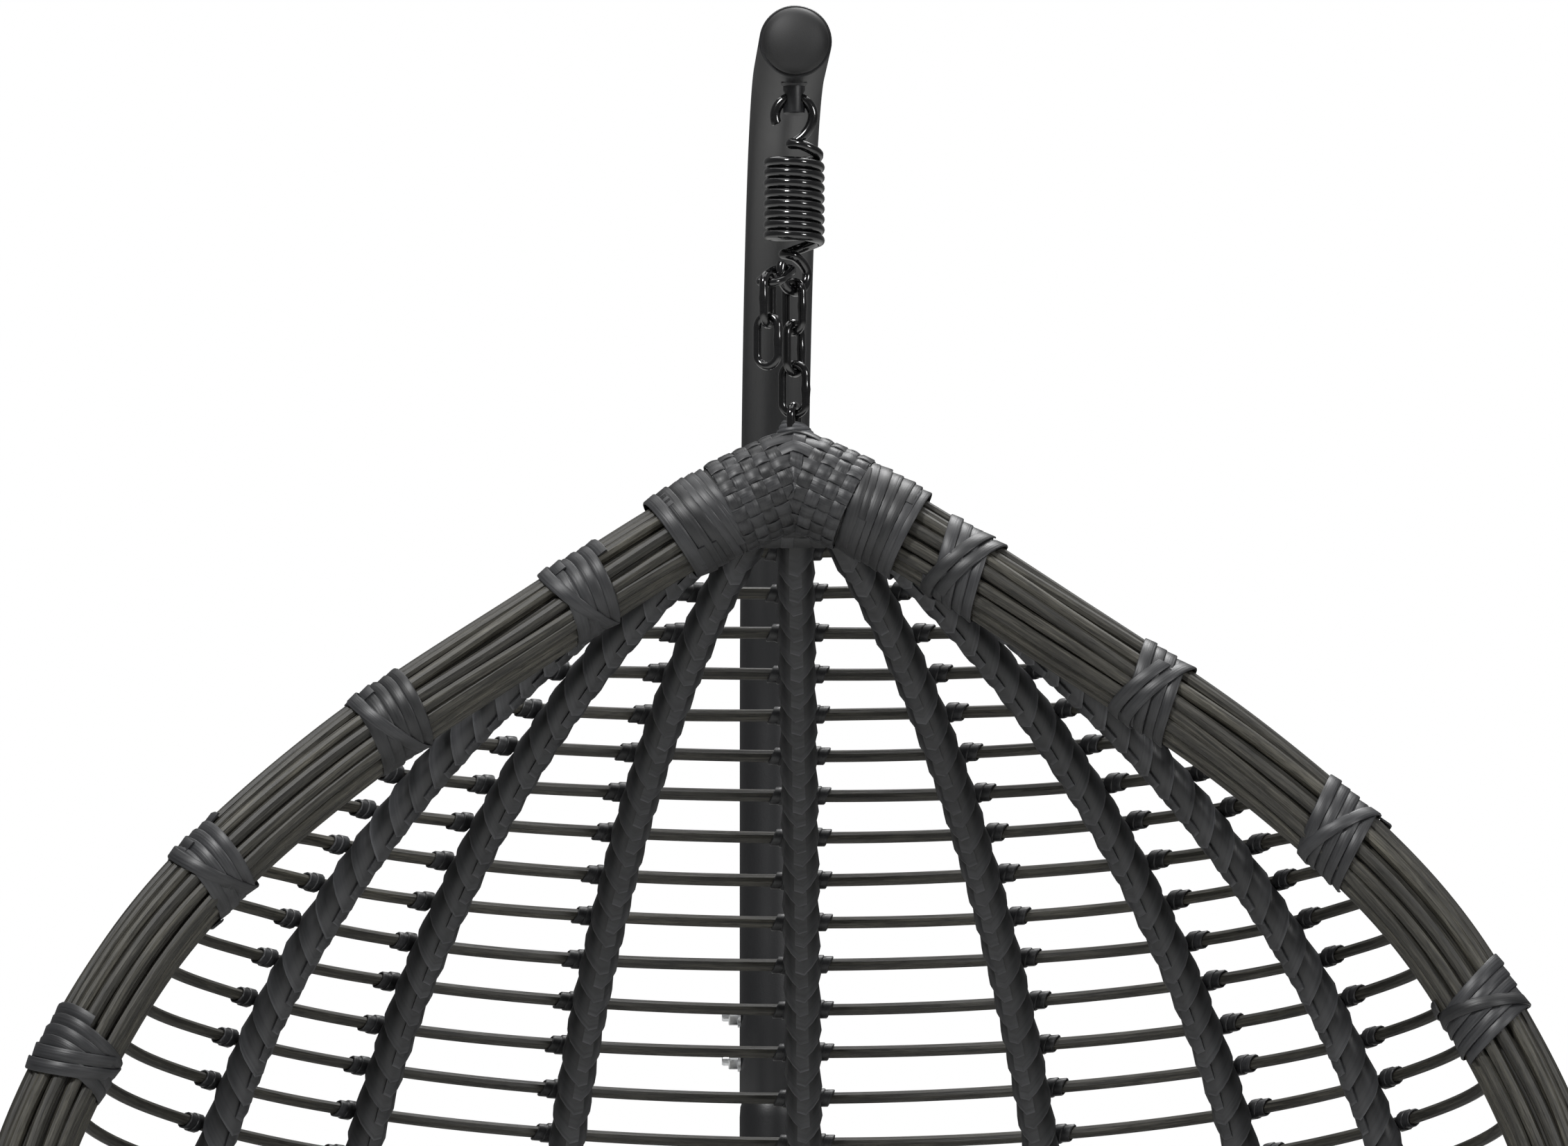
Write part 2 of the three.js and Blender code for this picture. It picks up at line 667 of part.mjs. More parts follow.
// A rib starts below the crown as soon as it clears the rim, and ends where it meets the rim again.
function ribRoute(share) {
  const keep = basket.bundle + basket.rib + 2 * gap;
  const points = [];
  for (let t = ribStart; t < 1; t += ribStep) {
    const half = rimSide.getPointAt(rimShare(t)).x;
    const past = rimShare(t) * rimLength > widestAlong;
    const here = past ? Math.min(1, (share * widest) / half) : share;
    const clear = here < 1 && rimDistance(shell(t, here)) >= keep;
    if (clear) points.push(shell(t, here));
    else if (points.length) break;
  }
  return points.filter((_, i) => i % ribSkip === 0 || i === points.length - 1);
}

function makeRibs() {
  piece("centre_rib", sweep(disc(basket.rib, 6), ribRoute(0)), strip, frame);
  ribShares.forEach((share, i) => {
    const route = ribRoute(share);
    const left = route.map((point) => at(-point.x, point.y, point.z));
    piece("rib_right_" + (i + 1), sweep(disc(basket.rib, 6), route), strip, frame);
    piece("rib_left_" + (i + 1), sweep(disc(basket.rib, 6), left), strip, frame);
  });
}

function rungRoute(t) {
  const keep = bundleSpace + basket.band + basket.cane + gap;
  let limit = 90;
  let end;
  do {
    limit -= 0.5;
    end = rungPoint(t, limit);
  } while (limit > 5 && rimDistance(end) < keep);
  const points = [];
  const steps = 14;
  for (let i = 0; i <= steps; i += 1) points.push(rungPoint(t, limit * ((2 * i) / steps - 1)));
  return points;
}

// A cane runs outside the ribs.
const rungPoint = (t, degrees) => lifted(t, Math.sin(radians(degrees)), rungLift);

const rungAt = (number) => (firstRung + rungPitch * number) / backLength;

function makeBelts() {
  const strandLift = rungLift + basket.cane - 0.2 * basket.strand;
  for (let first = 0; first < rungCount; first += rungsPerBelt) {
    const parts = [];
    const last = Math.min(first + rungsPerBelt, rungCount) - 1;
    for (let i = first; i <= last; i += 1) {
      parts.push(sweep(disc(basket.cane, 3), rungRoute(rungAt(i))));
    }
    const strand = [];
    for (let i = first; i <= last; i += 1) strand.push(lifted(rungAt(i), 0, strandLift));
    parts.push(sweep(disc(basket.strand, 4), strand));
    piece("rung_belt_" + (first / rungsPerBelt + 1), joined(...parts), canes, frame);
  }
}

// The highest point of the woven surface near a place on the seat.
function seatFloor() {
  const samples = [];
  for (let t = 0.55; t <= 1; t += 0.01) {
    for (let share = -0.98; share <= 0.981; share += 0.04) samples.push(shell(t, share));
  }
  const near = 26;
  return (x, y) => {
    const close = samples.filter((point) => Math.hypot(point.x - x, point.y - y) < near);
    return Math.max(...close.map((point) => point.z)) + basket.rib + cushion.lift;
  };
}

// A round pad that follows the seat below and is crowned on top.
function makeCushion() {
  const { radius, middle, thickness, edge, crown, slope } = cushion;
  const floorAt = seatFloor();
  const spokes = 16;
  const rings = [0.45, 0.78, 0.94];
  const level = floorAt(0, middle) + thickness;
  const place = (share, spoke, up) => {
    const angle = (2 * Math.PI * spoke) / spokes;
    const x = radius * share * Math.cos(angle);
    const y = middle + radius * share * Math.sin(angle);
    const floor = floorAt(x, y);
    const top = Math.max(level + slope * (y - middle), floor + edge) + crown * (1 - share * share);
    return at(x, y, floor + (top - floor) * up);
  };
  const points = [place(0, 0, 1)];
  rings.forEach((share) => {
    for (let i = 0; i < spokes; i += 1) points.push(place(share, i, share > 0.9 ? 0.9 : 1));
  });
  for (let i = 0; i < spokes; i += 1) points.push(place(1, i, 0.45));
  [...rings].reverse().forEach((share) => {
    for (let i = 0; i < spokes; i += 1) points.push(place(share, i, share > 0.9 ? 0.08 : 0));
  });
  points.push(place(0, 0, 0));
  const index = [];
  const loops = 2 * rings.length + 1;
  const corner = (loop, i) => 1 + loop * spokes + (i % spokes);
  for (let i = 0; i < spokes; i += 1) {
    index.push(0, corner(0, i), corner(0, i + 1));
    for (let loop = 0; loop + 1 < loops; loop += 1) {
      index.push(corner(loop, i), corner(loop + 1, i), corner(loop + 1, i + 1));
      index.push(corner(loop, i), corner(loop + 1, i + 1), corner(loop, i + 1));
    }
    index.push(points.length - 1, corner(loops - 1, i + 1), corner(loops - 1, i));
  }
  const geometry = new THREE.BufferGeometry();
  const flatPoints = points.flatMap((point) => point.toArray());
  geometry.setAttribute("position", new THREE.Float32BufferAttribute(flatPoints, 3));
  geometry.setIndex(index);
  piece("seat_cushion", geometry, cloth, frame);
}

const ringDrills = makeRing();
makeSocket(ringDrills);
makeSpine();
makeFeet();
makePole();
makeArmEnd();
makeSpring();
makeChain();
makeTail();
makeRim();
makeBands();
makeApex();
makeRibs();
makeBelts();
makeCushion();

export default chair;
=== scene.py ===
import math

import bmesh
import bpy
import numpy as np
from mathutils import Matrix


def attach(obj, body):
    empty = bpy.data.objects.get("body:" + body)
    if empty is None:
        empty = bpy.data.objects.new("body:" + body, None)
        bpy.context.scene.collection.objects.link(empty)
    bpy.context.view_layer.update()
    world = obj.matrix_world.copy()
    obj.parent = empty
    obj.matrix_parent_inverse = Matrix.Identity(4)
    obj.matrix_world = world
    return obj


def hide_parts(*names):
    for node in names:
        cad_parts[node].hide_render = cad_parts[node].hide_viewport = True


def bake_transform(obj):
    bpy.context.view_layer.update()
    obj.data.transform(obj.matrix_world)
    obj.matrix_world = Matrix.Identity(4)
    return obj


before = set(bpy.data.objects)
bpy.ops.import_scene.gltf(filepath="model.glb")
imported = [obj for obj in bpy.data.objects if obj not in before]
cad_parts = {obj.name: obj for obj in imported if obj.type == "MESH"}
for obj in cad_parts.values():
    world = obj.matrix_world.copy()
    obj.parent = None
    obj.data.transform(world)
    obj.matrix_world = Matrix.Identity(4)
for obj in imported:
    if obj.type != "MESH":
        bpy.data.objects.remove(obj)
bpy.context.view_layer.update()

rng = np.random.default_rng(7)
MM = 0.001
SHARP = math.radians(34)  # an edge with a wider turn than this is shaded sharp

# ---- Sizes in millimetres, the same as the CAD's ----
TUBE_RADIUS = 23
TUBE_WALL = 2
BORE = TUBE_RADIUS - TUBE_WALL
TUBE_GAP = 0.3  # the play between a tube and the one it goes into
REACH = 508
OVERHANG = 35
BEND = 400
HEIGHT = 1909
ARM = HEIGHT - TUBE_RADIUS
JOINT = 1236
NECK = 92
NECK_RADIUS = BORE - TUBE_GAP
POLE_BOLTS = (27, 57)  # above the pole joint
HEAD_ACROSS = 13
RING_RADIUS = 516
RING_TUBE = 19
FOOT = 8
RING_HEIGHT = FOOT + RING_TUBE
SLEEVE = RING_TUBE + 3.3
SLEEVE_HALF = 62
SLEEVE_SPREAD = math.degrees(SLEEVE_HALF / RING_RADIUS)
FRONT, REAR = 270, 90  # degrees round the floor ring
SPINE_RADIUS = 16
CUP_BOTTOM = RING_HEIGHT + RING_TUBE + 5.3
CUP_TOP = CUP_BOTTOM + 120
STUD_BASE = ARM - TUBE_RADIUS  # the arm's underside
HOOK = STUD_BASE - 8
WIRE = 6.7
COIL_RADIUS = (39 - WIRE) / 2
COIL_TOP = HOOK - 35
COIL_BOTTOM = COIL_TOP - 9 * (WIRE + 0.05)
LOWER_HOOK = COIL_BOTTOM - 28.5
HOOK_RADIUS = 12
HOOK_TURN = 45  # degrees between the spring's two hooks
LINK_WIRE = 5
LINK_LENGTH = 37
LINK_WIDTH = 20
LINK_PITCH = LINK_LENGTH - 2.15 * LINK_WIRE
FIRST_LINK = LOWER_HOOK + WIRE / 2 + 0.3 + LINK_WIRE - LINK_LENGTH / 2
LOOP_LENGTH = 40
LOOP_TOP = FIRST_LINK - 3 * LINK_PITCH + LINK_LENGTH / 2
CORE = 8
APEX = LOOP_TOP - LOOP_LENGTH - CORE - 0.3
BASKET_TURN = math.radians(2.8)
LEAN = math.radians(9)
BUNDLE = 25
RIB = 12
CANE = 4
RIB_SHARES = (0.36, 0.65, 0.84)
RUNG_PITCH = 32.3
FIRST_RUNG = 71
RUNG_COUNT = 48
BAND_PITCH = 146
BAND_SHIFT = {1: -22, -1: 6}  # right and left
BANDS_IN_CAD = 6  # a side
BELTS = 6
WRAP_HALF = 82  # half the bound length at the apex
WIDEST_ALONG = 760  # the distance along the rim to its widest place
HALF_WIDTH = 498  # half the rim's width there
BRAID_STEPS = 9
# The outline of the rim in its own plane: the distance down from the apex, and the half width there.
RIM_OUTLINE = (
    (0, 0), (30, 60), (92, 156), (179, 281), (272, 381), (362, 441), (460, 481), (575, 498),
    (690, 488), (800, 455), (905, 402), (1000, 325), (1080, 232), (1136, 120), (1155, 0),
)
# The middle of the back and the seat, from the apex: the distance behind it, and the height above it.
BACK_OUTLINE = (
    (0, 0), (56, -62), (130, -150), (212, -252), (300, -396), (346, -505), (378, -610), (395, -715),
    (390, -815), (362, -915), (308, -1010), (228, -1098), (122, -1157), (0, -1178), (-108, -1165),
    (-181, -1141),
)


# ---- Curves ----
def catmull_rom(points, centripetal, samples=1400):
    """A smooth curve through the points, sampled finely, with the distance along it."""
    points = np.array(points, float)
    first = 2 * points[0] - points[1]
    last = 2 * points[-1] - points[-2]
    p = np.vstack([first, points, last])
    rows = []
    for i in range(1, len(p) - 2):
        u = np.linspace(0, 1, samples // len(points), endpoint=False)[:, None]
        if centripetal:
            d = [max(np.linalg.norm(p[i + k] - p[i + k - 1]) ** 0.5, 1e-4) for k in range(3)]
            m0 = (p[i] - p[i - 1]) / d[0] - (p[i + 1] - p[i - 1]) / (d[0] + d[1])
            m0 = (m0 + (p[i + 1] - p[i]) / d[1]) * d[1]
            m1 = (p[i + 1] - p[i]) / d[1] - (p[i + 2] - p[i]) / (d[1] + d[2])
            m1 = (m1 + (p[i + 2] - p[i + 1]) / d[2]) * d[1]
        else:
            m0 = 0.5 * (p[i + 1] - p[i - 1])
            m1 = 0.5 * (p[i + 2] - p[i])
        c2 = -3 * p[i] + 3 * p[i + 1] - 2 * m0 - m1
        c3 = 2 * p[i] - 2 * p[i + 1] + m0 + m1
        rows.append(p[i] + m0 * u + c2 * u * u + c3 * u * u * u)
    rows.append(p[-2][None, :])
    line = np.vstack(rows)
    return line, distances(line)


def distances(points):
    """The distance walked along a route, at each of its points."""
    return np.concatenate([[0], np.cumsum(np.linalg.norm(np.diff(points, axis=0), axis=1))])


def along(line, walked, distance):
    """Points of a line at a distance along it."""
    distance = np.asarray(distance, float)
    return np.stack([np.interp(distance, walked, line[:, k]) for k in range(3)], axis=-1)


RIM_LINE, RIM_WALK = catmull_rom(
    [(half, -down * math.sin(LEAN), -down * math.cos(LEAN)) for down, half in RIM_OUTLINE], False)
BACK_LINE, BACK_WALK = catmull_rom([(0, back, up) for back, up in BACK_OUTLINE], True)
RIM_LENGTH = RIM_WALK[-1]
BACK_LENGTH = BACK_WALK[-1]


def rim_share(t):
    """Where the row at t meets the rim, as a share of the rim's length. It leads t near the apex."""
    return min(1.0, t + 1.17 * t * math.exp(-t / 0.13))


def shell(t, share):
    """A point of the woven surface: t from apex to foot, share from -1 at the left rim to 1."""
    share = np.asarray(share, float)
    rim = along(RIM_LINE, RIM_WALK, rim_share(t) * RIM_LENGTH)
    back = along(BACK_LINE, BACK_WALK, t * BACK_LENGTH)
    depth = np.sqrt(np.maximum(0, 1 - share * share))
    x = rim[0] * share
    return np.stack([x, rim[1] + (back[1] - rim[1]) * depth, rim[2] + (back[2] - rim[2]) * depth], -1)


def outward(t, share):
    """The shell's unit normal, away from the sitter."""
    step = 0.002
    bound = np.clip(share, -0.995, 0.995)
    down = shell(min(t + step, 1), bound) - shell(max(t - step, 0), bound)
    normal = np.cross(shell(t, bound + step) - shell(t, bound - step), down)
    return normal / np.linalg.norm(normal, axis=-1, keepdims=True)


def lifted(t, share, lift):
    return shell(t, share) + outward(t, share) * lift


def to_row(points):
    """From the basket's own axes to the chair's."""
    points = np.asarray(points, float)
    cos, sin = math.cos(-BASKET_TURN), math.sin(-BASKET_TURN)
    x = points[..., 0] * cos - points[..., 1] * sin
    y = points[..., 0] * sin + points[..., 1] * cos
    return np.stack([x, y, points[..., 2] + APEX], -1)


def unit(vectors):
    return vectors / np.maximum(np.linalg.norm(vectors, axis=-1, keepdims=True), 1e-12)


class Line:
    """A route with a frame at each point. side is the direction that angle 0 faces."""

    def __init__(self, points, side=None, closed=False):
        self.points = np.asarray(points, float)
        if closed:
            ahead = np.roll(self.points, -1, 0)
            behind = np.roll(self.points, 1, 0)
            self.tangent = unit(ahead - behind)
        else:
            self.tangent = unit(np.gradient(self.points, axis=0))
        self.walk = distances(self.points)
        if side is None:
            side = self.carried()
        side = side - self.tangent * np.sum(side * self.tangent, -1, keepdims=True)
        self.side = unit(side)
        self.cross = np.cross(self.tangent, self.side)

    def carried(self):
        """A side direction carried along the route from its start, without twist."""
        start = np.array([0, 0, 1.0]) if abs(self.tangent[0][2]) < 0.9 else np.array([1.0, 0, 0])
        side = [start - self.tangent[0] * start.dot(self.tangent[0])]
        for tangent in self.tangent[1:]:
            carried = side[-1] - tangent * side[-1].dot(tangent)
            side.append(carried / np.linalg.norm(carried))
        return np.array(side)

    def at(self, distance, angle, radius):
        """Points at a distance along, an angle round and a radius out."""
        distance = np.clip(distance, 0, self.walk[-1])
        centre = along(self.points, self.walk, distance)
        side = along(self.side, self.walk, distance)
        cross = along(self.cross, self.walk, distance)
        cos, sin = np.cos(angle)[..., None], np.sin(angle)[..., None]
        radius = np.asarray(radius, float)[..., None]
        return centre + radius * (cos * unit(side) + sin * unit(cross))


def circle(count):
    return np.linspace(0, 2 * math.pi, count, endpoint=False)


def polar(radius, angle, height):
    """Points round the Z axis."""
    x, y = radius * np.cos(angle), radius * np.sin(angle)
    return np.stack([x, y, np.broadcast_to(height, x.shape)], -1)


# ---- Meshes ----
class Build:
    """Collects grids of points into one mesh, with a grain coordinate and a tone at each point."""

    def __init__(self):
        self.points, self.faces, self.grain, self.tone = [], [], [], []
        self.count = 0

    def grid(self, points, grain, tone=0.5, wrap_rows=False, wrap_columns=False):
        """points[i][j]. Rows run along i. Faces look outward when j turns round i's direction."""
        rows, columns = points.shape[:2]
        index = np.arange(rows * columns).reshape(rows, columns) + self.count
        a = index if wrap_rows else index[:-1]
        b = np.roll(index, -1, 0) if wrap_rows else index[1:]
        if wrap_columns:
            faces = np.stack([a, np.roll(a, -1, 1), np.roll(b, -1, 1), b], -1)
        else:
            faces = np.stack([a[:, :-1], a[:, 1:], b[:, 1:], b[:, :-1]], -1)
        self.faces.extend(map(tuple, faces.reshape(-1, 4).tolist()))
        self.add(points, grain, tone)
        return index

    def add(self, points, grain, tone):
        flat = np.asarray(points, float).reshape(-1, 3)
        self.points.append(flat)
        self.grain.append(np.asarray(grain, float).reshape(-1, 3))
        self.tone.append(np.broadcast_to(np.asarray(tone, float).ravel(), (len(flat),)))
        self.count += len(flat)

    def tube(self, points, radius, sides, tone=0.5, side=None, closed=False, caps=True, offset=0):
        line = Line(points, side, closed)
        angle = circle(sides)
        radius = np.broadcast_to(np.asarray(radius, float), (len(line.points),))
        cos, sin = np.cos(angle)[None, :, None], np.sin(angle)[None, :, None]
        ring = cos * line.side[:, None, :] + sin * line.cross[:, None, :]
        rows = line.points[:, None, :] + radius[:, None, None] * ring
        walk = np.broadcast_to(line.walk[:, None] + offset, rows.shape[:2])
        grain = np.stack([walk, radius[:, None] * np.cos(angle), radius[:, None] * np.sin(angle)], -1)
        index = self.grid(rows, grain, tone, wrap_rows=closed, wrap_columns=True)
        if caps and not closed:
            self.cap(index)

    def cap(self, index):
        """Closes both ends of a tube's or a strap's grid."""
        self.faces.append(tuple(index[0][::-1].tolist()))
        self.faces.append(tuple(index[-1].tolist()))

    def strap(self, centre, normal, across, width, thickness, tone=0.5, closed=False, offset=0):
        """A flat strip with rounded edges along centre. normal is its outer face's direction."""
        section = ((-0.5, -0.5), (0.5, -0.5), (0.5, 0.15), (0.42, 0.5), (-0.42, 0.5), (-0.5, 0.15))
        columns = [centre + across * (w * width) + normal * (h * thickness) for w, h in section]
        rows = np.stack(columns, 1)
        walk = distances(centre) + offset
        flat = np.ones(len(walk))
        grain = np.stack([np.stack([walk, flat * w * width, flat * h], -1) for w, h in section], 1)
        index = self.grid(rows, grain, tone, wrap_rows=closed, wrap_columns=True)
        if not closed:
            self.cap(index)

    def turned(self, profile, place, sides=32):
        """A turned piece about its own Z: profile of (radius, height), place turns it into position."""
        rows = np.array([[(r * math.cos(a), r * math.sin(a), h) for a in circle(sides)] for r, h in profile])
        self.grid(place(rows), rows, wrap_columns=True)

    def mesh(self, name):
        mesh = bpy.data.meshes.new(name)
        mesh.from_pydata((np.vstack(self.points) * MM).tolist(), [], self.faces)
        return mesh

    def object(self, name, material, body, slot, replaces=()):
        """Makes the piece: its mesh, its body and the CAD nodes it stands for. The slot is not used."""
        mesh = self.mesh(name)
        grain = mesh.attributes.new("grain", "FLOAT_VECTOR", "POINT")
        grain.data.foreach_set("vector", (np.vstack(self.grain) * MM).ravel().astype(np.float32))
        tone = mesh.attributes.new("tone", "FLOAT", "POINT")
        tone.data.foreach_set("value", np.concatenate(self.tone).astype(np.float32))
        mesh.materials.append(material)
        weld(mesh)
        piece = placed(name, mesh)
        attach(piece, body)
        if replaces:
            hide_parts(*replaces)
        return piece


def placed(name, data):
    """A new object in the scene."""
    made = bpy.data.objects.new(name, data)
    bpy.context.scene.collection.objects.link(made)
    return made


def weld(mesh):
    """Joins points that a profile brings together, turns the faces outward and marks sharp edges."""
    bm = bmesh.new()
    bm.from_mesh(mesh)
    bmesh.ops.remove_doubles(bm, verts=bm.verts, dist=1e-6)
    bmesh.ops.dissolve_degenerate(bm, edges=bm.edges, dist=1e-7)
    bmesh.ops.recalc_face_normals(bm, faces=bm.faces)
    for face in bm.faces:
        face.smooth = True
    for edge in bm.edges:
        if len(edge.link_faces) == 2 and edge.calc_face_angle(0) > SHARP:
            edge.smooth = False
    bm.to_mesh(mesh)
    bm.free()


def upright(x=0, y=0, z=0):
    """A place for a turned piece, standing up."""
    return lambda rows: rows + np.array([x, y, z], float)


def on_ring(degrees):
    """A place on the floor ring's middle line, seen from above."""
    return RING_RADIUS * math.cos(math.radians(degrees)), RING_RADIUS * math.sin(math.radians(degrees))


# ---- Materials ----
class Shader:
    """A procedural material under construction."""

    def __init__(self, name, color, roughness, metallic=0.0):
        self.material = bpy.data.materials.new(name)
        self.material.use_nodes = True
        self.tree = self.material.node_tree
        self.main = self.tree.nodes["Principled BSDF"]
        self.main.inputs["Base Color"].default_value = (*color, 1)
        self.main.inputs["Roughness"].default_value = roughness
        self.main.inputs["Metallic"].default_value = metallic

    def node(self, kind, **settings):
        made = self.tree.nodes.new(kind)
        for key, value in settings.items():
            if key in made.inputs.keys():
                made.inputs[key].default_value = value
            else:
                setattr(made, key, value)
        return made

    def link(self, source, target):
        self.tree.links.new(source, target)

    def grain(self, stretch):
        """The grain coordinate, stretched along the piece."""
        attribute = self.node("ShaderNodeAttribute", attribute_name="grain")
        mapping = self.node("ShaderNodeMapping", Scale=stretch)
        self.link(attribute.outputs["Vector"], mapping.inputs["Vector"])
        return mapping.outputs["Vector"]

    def place(self):
        return self.node("ShaderNodeTexCoord").outputs["Object"]

    def tone(self):
        """The tone attribute, from 0 to 1: each strip's or cane's own tone, and on the rib braids also
        painted shade and a painted highlight across each strip.
        """
        return self.node("ShaderNodeAttribute", attribute_name="tone").outputs["Fac"]

    def noise(self, vector, scale, detail=4.0, roughness=0.5):
        made = self.node("ShaderNodeTexNoise", Scale=scale, Detail=detail, Roughness=roughness)
        self.link(vector, made.inputs["Vector"])
        return made.outputs["Fac"]

    def ramp(self, value, stops):
        made = self.node("ShaderNodeValToRGB")
        elements = made.color_ramp.elements
        while len(elements) < len(stops):
            elements.new(0.5)
        for element, (position, color) in zip(elements, stops):
            element.position = position
            element.color = (*color, 1)
        self.link(value, made.inputs["Fac"])
        return made.outputs["Color"]

    def tint(self, color, factor, value, stops):
        """Multiplies a colour by a ramp over value."""
        made = self.node("ShaderNodeMix", data_type="RGBA", blend_type="MULTIPLY")
        made.inputs[0].default_value = factor
        self.link(color, made.inputs[6])
        self.link(self.ramp(value, stops), made.inputs[7])
        return made.outputs[2]

    def set(self, **values):
        """Sets sockets of the main shader. An underscore in a name stands for a space."""
        for name, value in values.items():
            self.main.inputs[name.replace("_", " ")].default_value = value

    def paint(self, color):
        self.link(color, self.main.inputs["Base Color"])

    def rough(self, value, low, high):
        """Lets the roughness run from low to high with value."""
        made = self.node("ShaderNodeMapRange")
        made.inputs["To Min"].default_value = low
        made.inputs["To Max"].default_value = high
        self.link(value, made.inputs["Value"])
        self.link(made.outputs["Result"], self.main.inputs["Roughness"])

    def bump(self, height, strength, distance):
        made = self.node("ShaderNodeBump", Strength=strength, Distance=distance)
        self.link(height, made.inputs["Height"])
        if self.main.inputs["Normal"].is_linked:
            self.link(self.main.inputs["Normal"].links[0].from_socket, made.inputs["Normal"])
        self.link(made.outputs["Normal"], self.main.inputs["Normal"])


def grey(level):
    return (level, level, level)


def coated(name, color, roughness, cloud, spread, grit, strength, depth, **sockets):
    """Paint or moulded plastic: a cloudy gloss over a fine bump."""
    made = Shader(name, color, roughness)
    made.set(**sockets)
    place = made.place()
    made.rough(made.noise(place, cloud), *spread)
    made.bump(made.noise(place, grit, 2), strength, depth)
    return made.material


def zinc_plate():
    made = Shader("zinc_plate", (0.56, 0.57, 0.58), 0.32, 1.0)
    place = made.place()
    made.paint(made.ramp(made.noise(place, 160), [(0.3, (0.42, 0.43, 0.44)), (0.7, (0.66, 0.67, 0.68))]))
    made.rough(made.noise(place, 300), 0.22, 0.45)
    return made.material


def flat_strip():
    """Extruded flat strip: charcoal, satin, with fine lines along it."""
    made = Shader("flat_strip", (0.02, 0.021, 0.025), 0.36)
    made.set(Specular_IOR_Level=0.5)
    lines = made.noise(made.grain((14, 900, 0)), 1.0, 3)
    cloud = made.noise(made.grain((60, 60, 0)), 1.0, 2)
    # Colour from the tone attribute: each strip's own tone, and on the rib braids painted shade at a strip's
    # lapped edge and a painted highlight along its lower edge.
    color = made.ramp(made.tone(), [(0.0, (0.003, 0.0031, 0.0035)), (1.0, (0.082, 0.084, 0.09))])
    color = made.tint(color, 0.55, lines, [(0.35, (0.45, 0.45, 0.47)), (0.6, grey(1.3))])
    made.paint(made.tint(color, 0.4, cloud, [(0.3, grey(0.6)), (0.7, grey(1.2))]))
    made.rough(lines, 0.36, 0.54)
    made.bump(lines, 0.3, 0.0006)
    return made.material


def round_cane():
    """Extruded round cane: grey brown with long grain and dark flecks."""
    made = Shader("round_cane", (0.03, 0.028, 0.022), 0.5)
    made.set(Specular_IOR_Level=0.45)
    streak = made.noise(made.grain((26, 620, 620)), 1.0, 5, 0.6)
    fleck = made.noise(made.grain((90, 1500, 1500)), 1.0, 2)
    color = made.ramp(streak, [
        (0.28, (0.0085, 0.008, 0.0065)), (0.47, (0.026, 0.0245, 0.0195)),
        (0.6, (0.048, 0.0455, 0.037)), (0.78, (0.095, 0.09, 0.074)),
    ])
    color = made.tint(color, 0.8, fleck, [(0.34, (0.25, 0.24, 0.22)), (0.46, grey(1.1))])
    made.paint(made.tint(color, 0.7, made.tone(), [(0.0, (0.6, 0.6, 0.62)), (1.0, (1.35, 1.33, 1.26))]))
    made.rough(streak, 0.4, 0.62)
    made.bump(streak, 0.45, 0.0007)
    return made.material


def woven_cloth():
    """Outdoor canvas in a warm grey, plain weave."""
    made = Shader("woven_cloth", (0.3, 0.285, 0.25), 0.9)
    made.set(Sheen_Weight=0.25, Sheen_Roughness=0.5)
    place = made.place()
    weave = made.node("ShaderNodeMath", operation="MULTIPLY")
    for i, axis in enumerate("XY"):
        wave = made.node("ShaderNodeTexWave", wave_type="BANDS", bands_direction=axis, Scale=210.0,
                         Distortion=1.2, Detail=2.0)
        made.link(place, wave.inputs["Vector"])
        made.link(wave.outputs["Fac"], weave.inputs[i])
    height = weave.outputs[0]
    # Painted shade: the colour is darker where the weave is low, between the threads.
    color = made.ramp(height, [(0.0, (0.2, 0.19, 0.165)), (0.7, (0.37, 0.355, 0.315))])
    made.paint(made.tint(color, 0.5, made.noise(place, 9, 5), [(0.3, grey(0.82)), (0.7, grey(1.1))]))
    made.bump(height, 0.35, 0.0008)
    return made.material


POWDER = coated("powder_coat", (0.0075, 0.0078, 0.009), 0.36, 14, (0.34, 0.48), 900, 0.16, 0.0004,
                Specular_IOR_Level=0.55)
GLOSS = coated("gloss_coat", (0.004, 0.004, 0.0045), 0.14, 60, (0.08, 0.22), 420, 0.08, 0.0005,
               Coat_Weight=0.6, Coat_Roughness=0.06)
ZINC = zinc_plate()
PLUG = coated("plug_plastic", (0.006, 0.006, 0.0065), 0.6, 40, (0.52, 0.68), 1400, 0.2, 0.0003)
RUBBER = coated("foot_rubber", grey(0.011), 0.8, 40, (0.72, 0.88), 1400, 0.2, 0.0003)
STRIP = flat_strip()
CANES = round_cane()
CLOTH = woven_cloth()


# ---- Stand ----
def steel(part, name, node):
    return part.object(name, POWDER, "stand", "black_steel", [node])


def ring_route(start, end, count):
    """Points on the floor ring's middle line, between two angles in degrees."""
    return polar(RING_RADIUS, np.radians(np.linspace(start, end, count)), RING_HEIGHT)


def make_ring():
    for name, start in (("base_ring_right", FRONT), ("base_ring_left", REAR)):
        part = Build()
        route = ring_route(start + 0.4, start + 179.6, 90)
        part.tube(route, RING_TUBE, 32)
        part.tube(route[::-1], RING_TUBE - TUBE_WALL, 24, caps=False)
        steel(part, name + "_tube", name)
    part = Build()
    sleeve_tube(part, FRONT)
    steel(part, "ring_sleeve_steel", "ring_sleeve")


def sleeve_tube(part, middle):
    """A tube round a joint of the ring, drawn in at its ends."""
    radius = np.full(16, SLEEVE)
    radius[[0, -1]] = RING_TUBE + 1.2
    part.tube(ring_route(middle - SLEEVE_SPREAD, middle + SLEEVE_SPREAD, 16), radius, 40)


def weld_bead(part, centre, radius):
    angle = circle(96)
    part.tube(polar(radius + 0.35 * np.sin(angle * 23), angle, 0) + centre, 1.6, 8, closed=True)


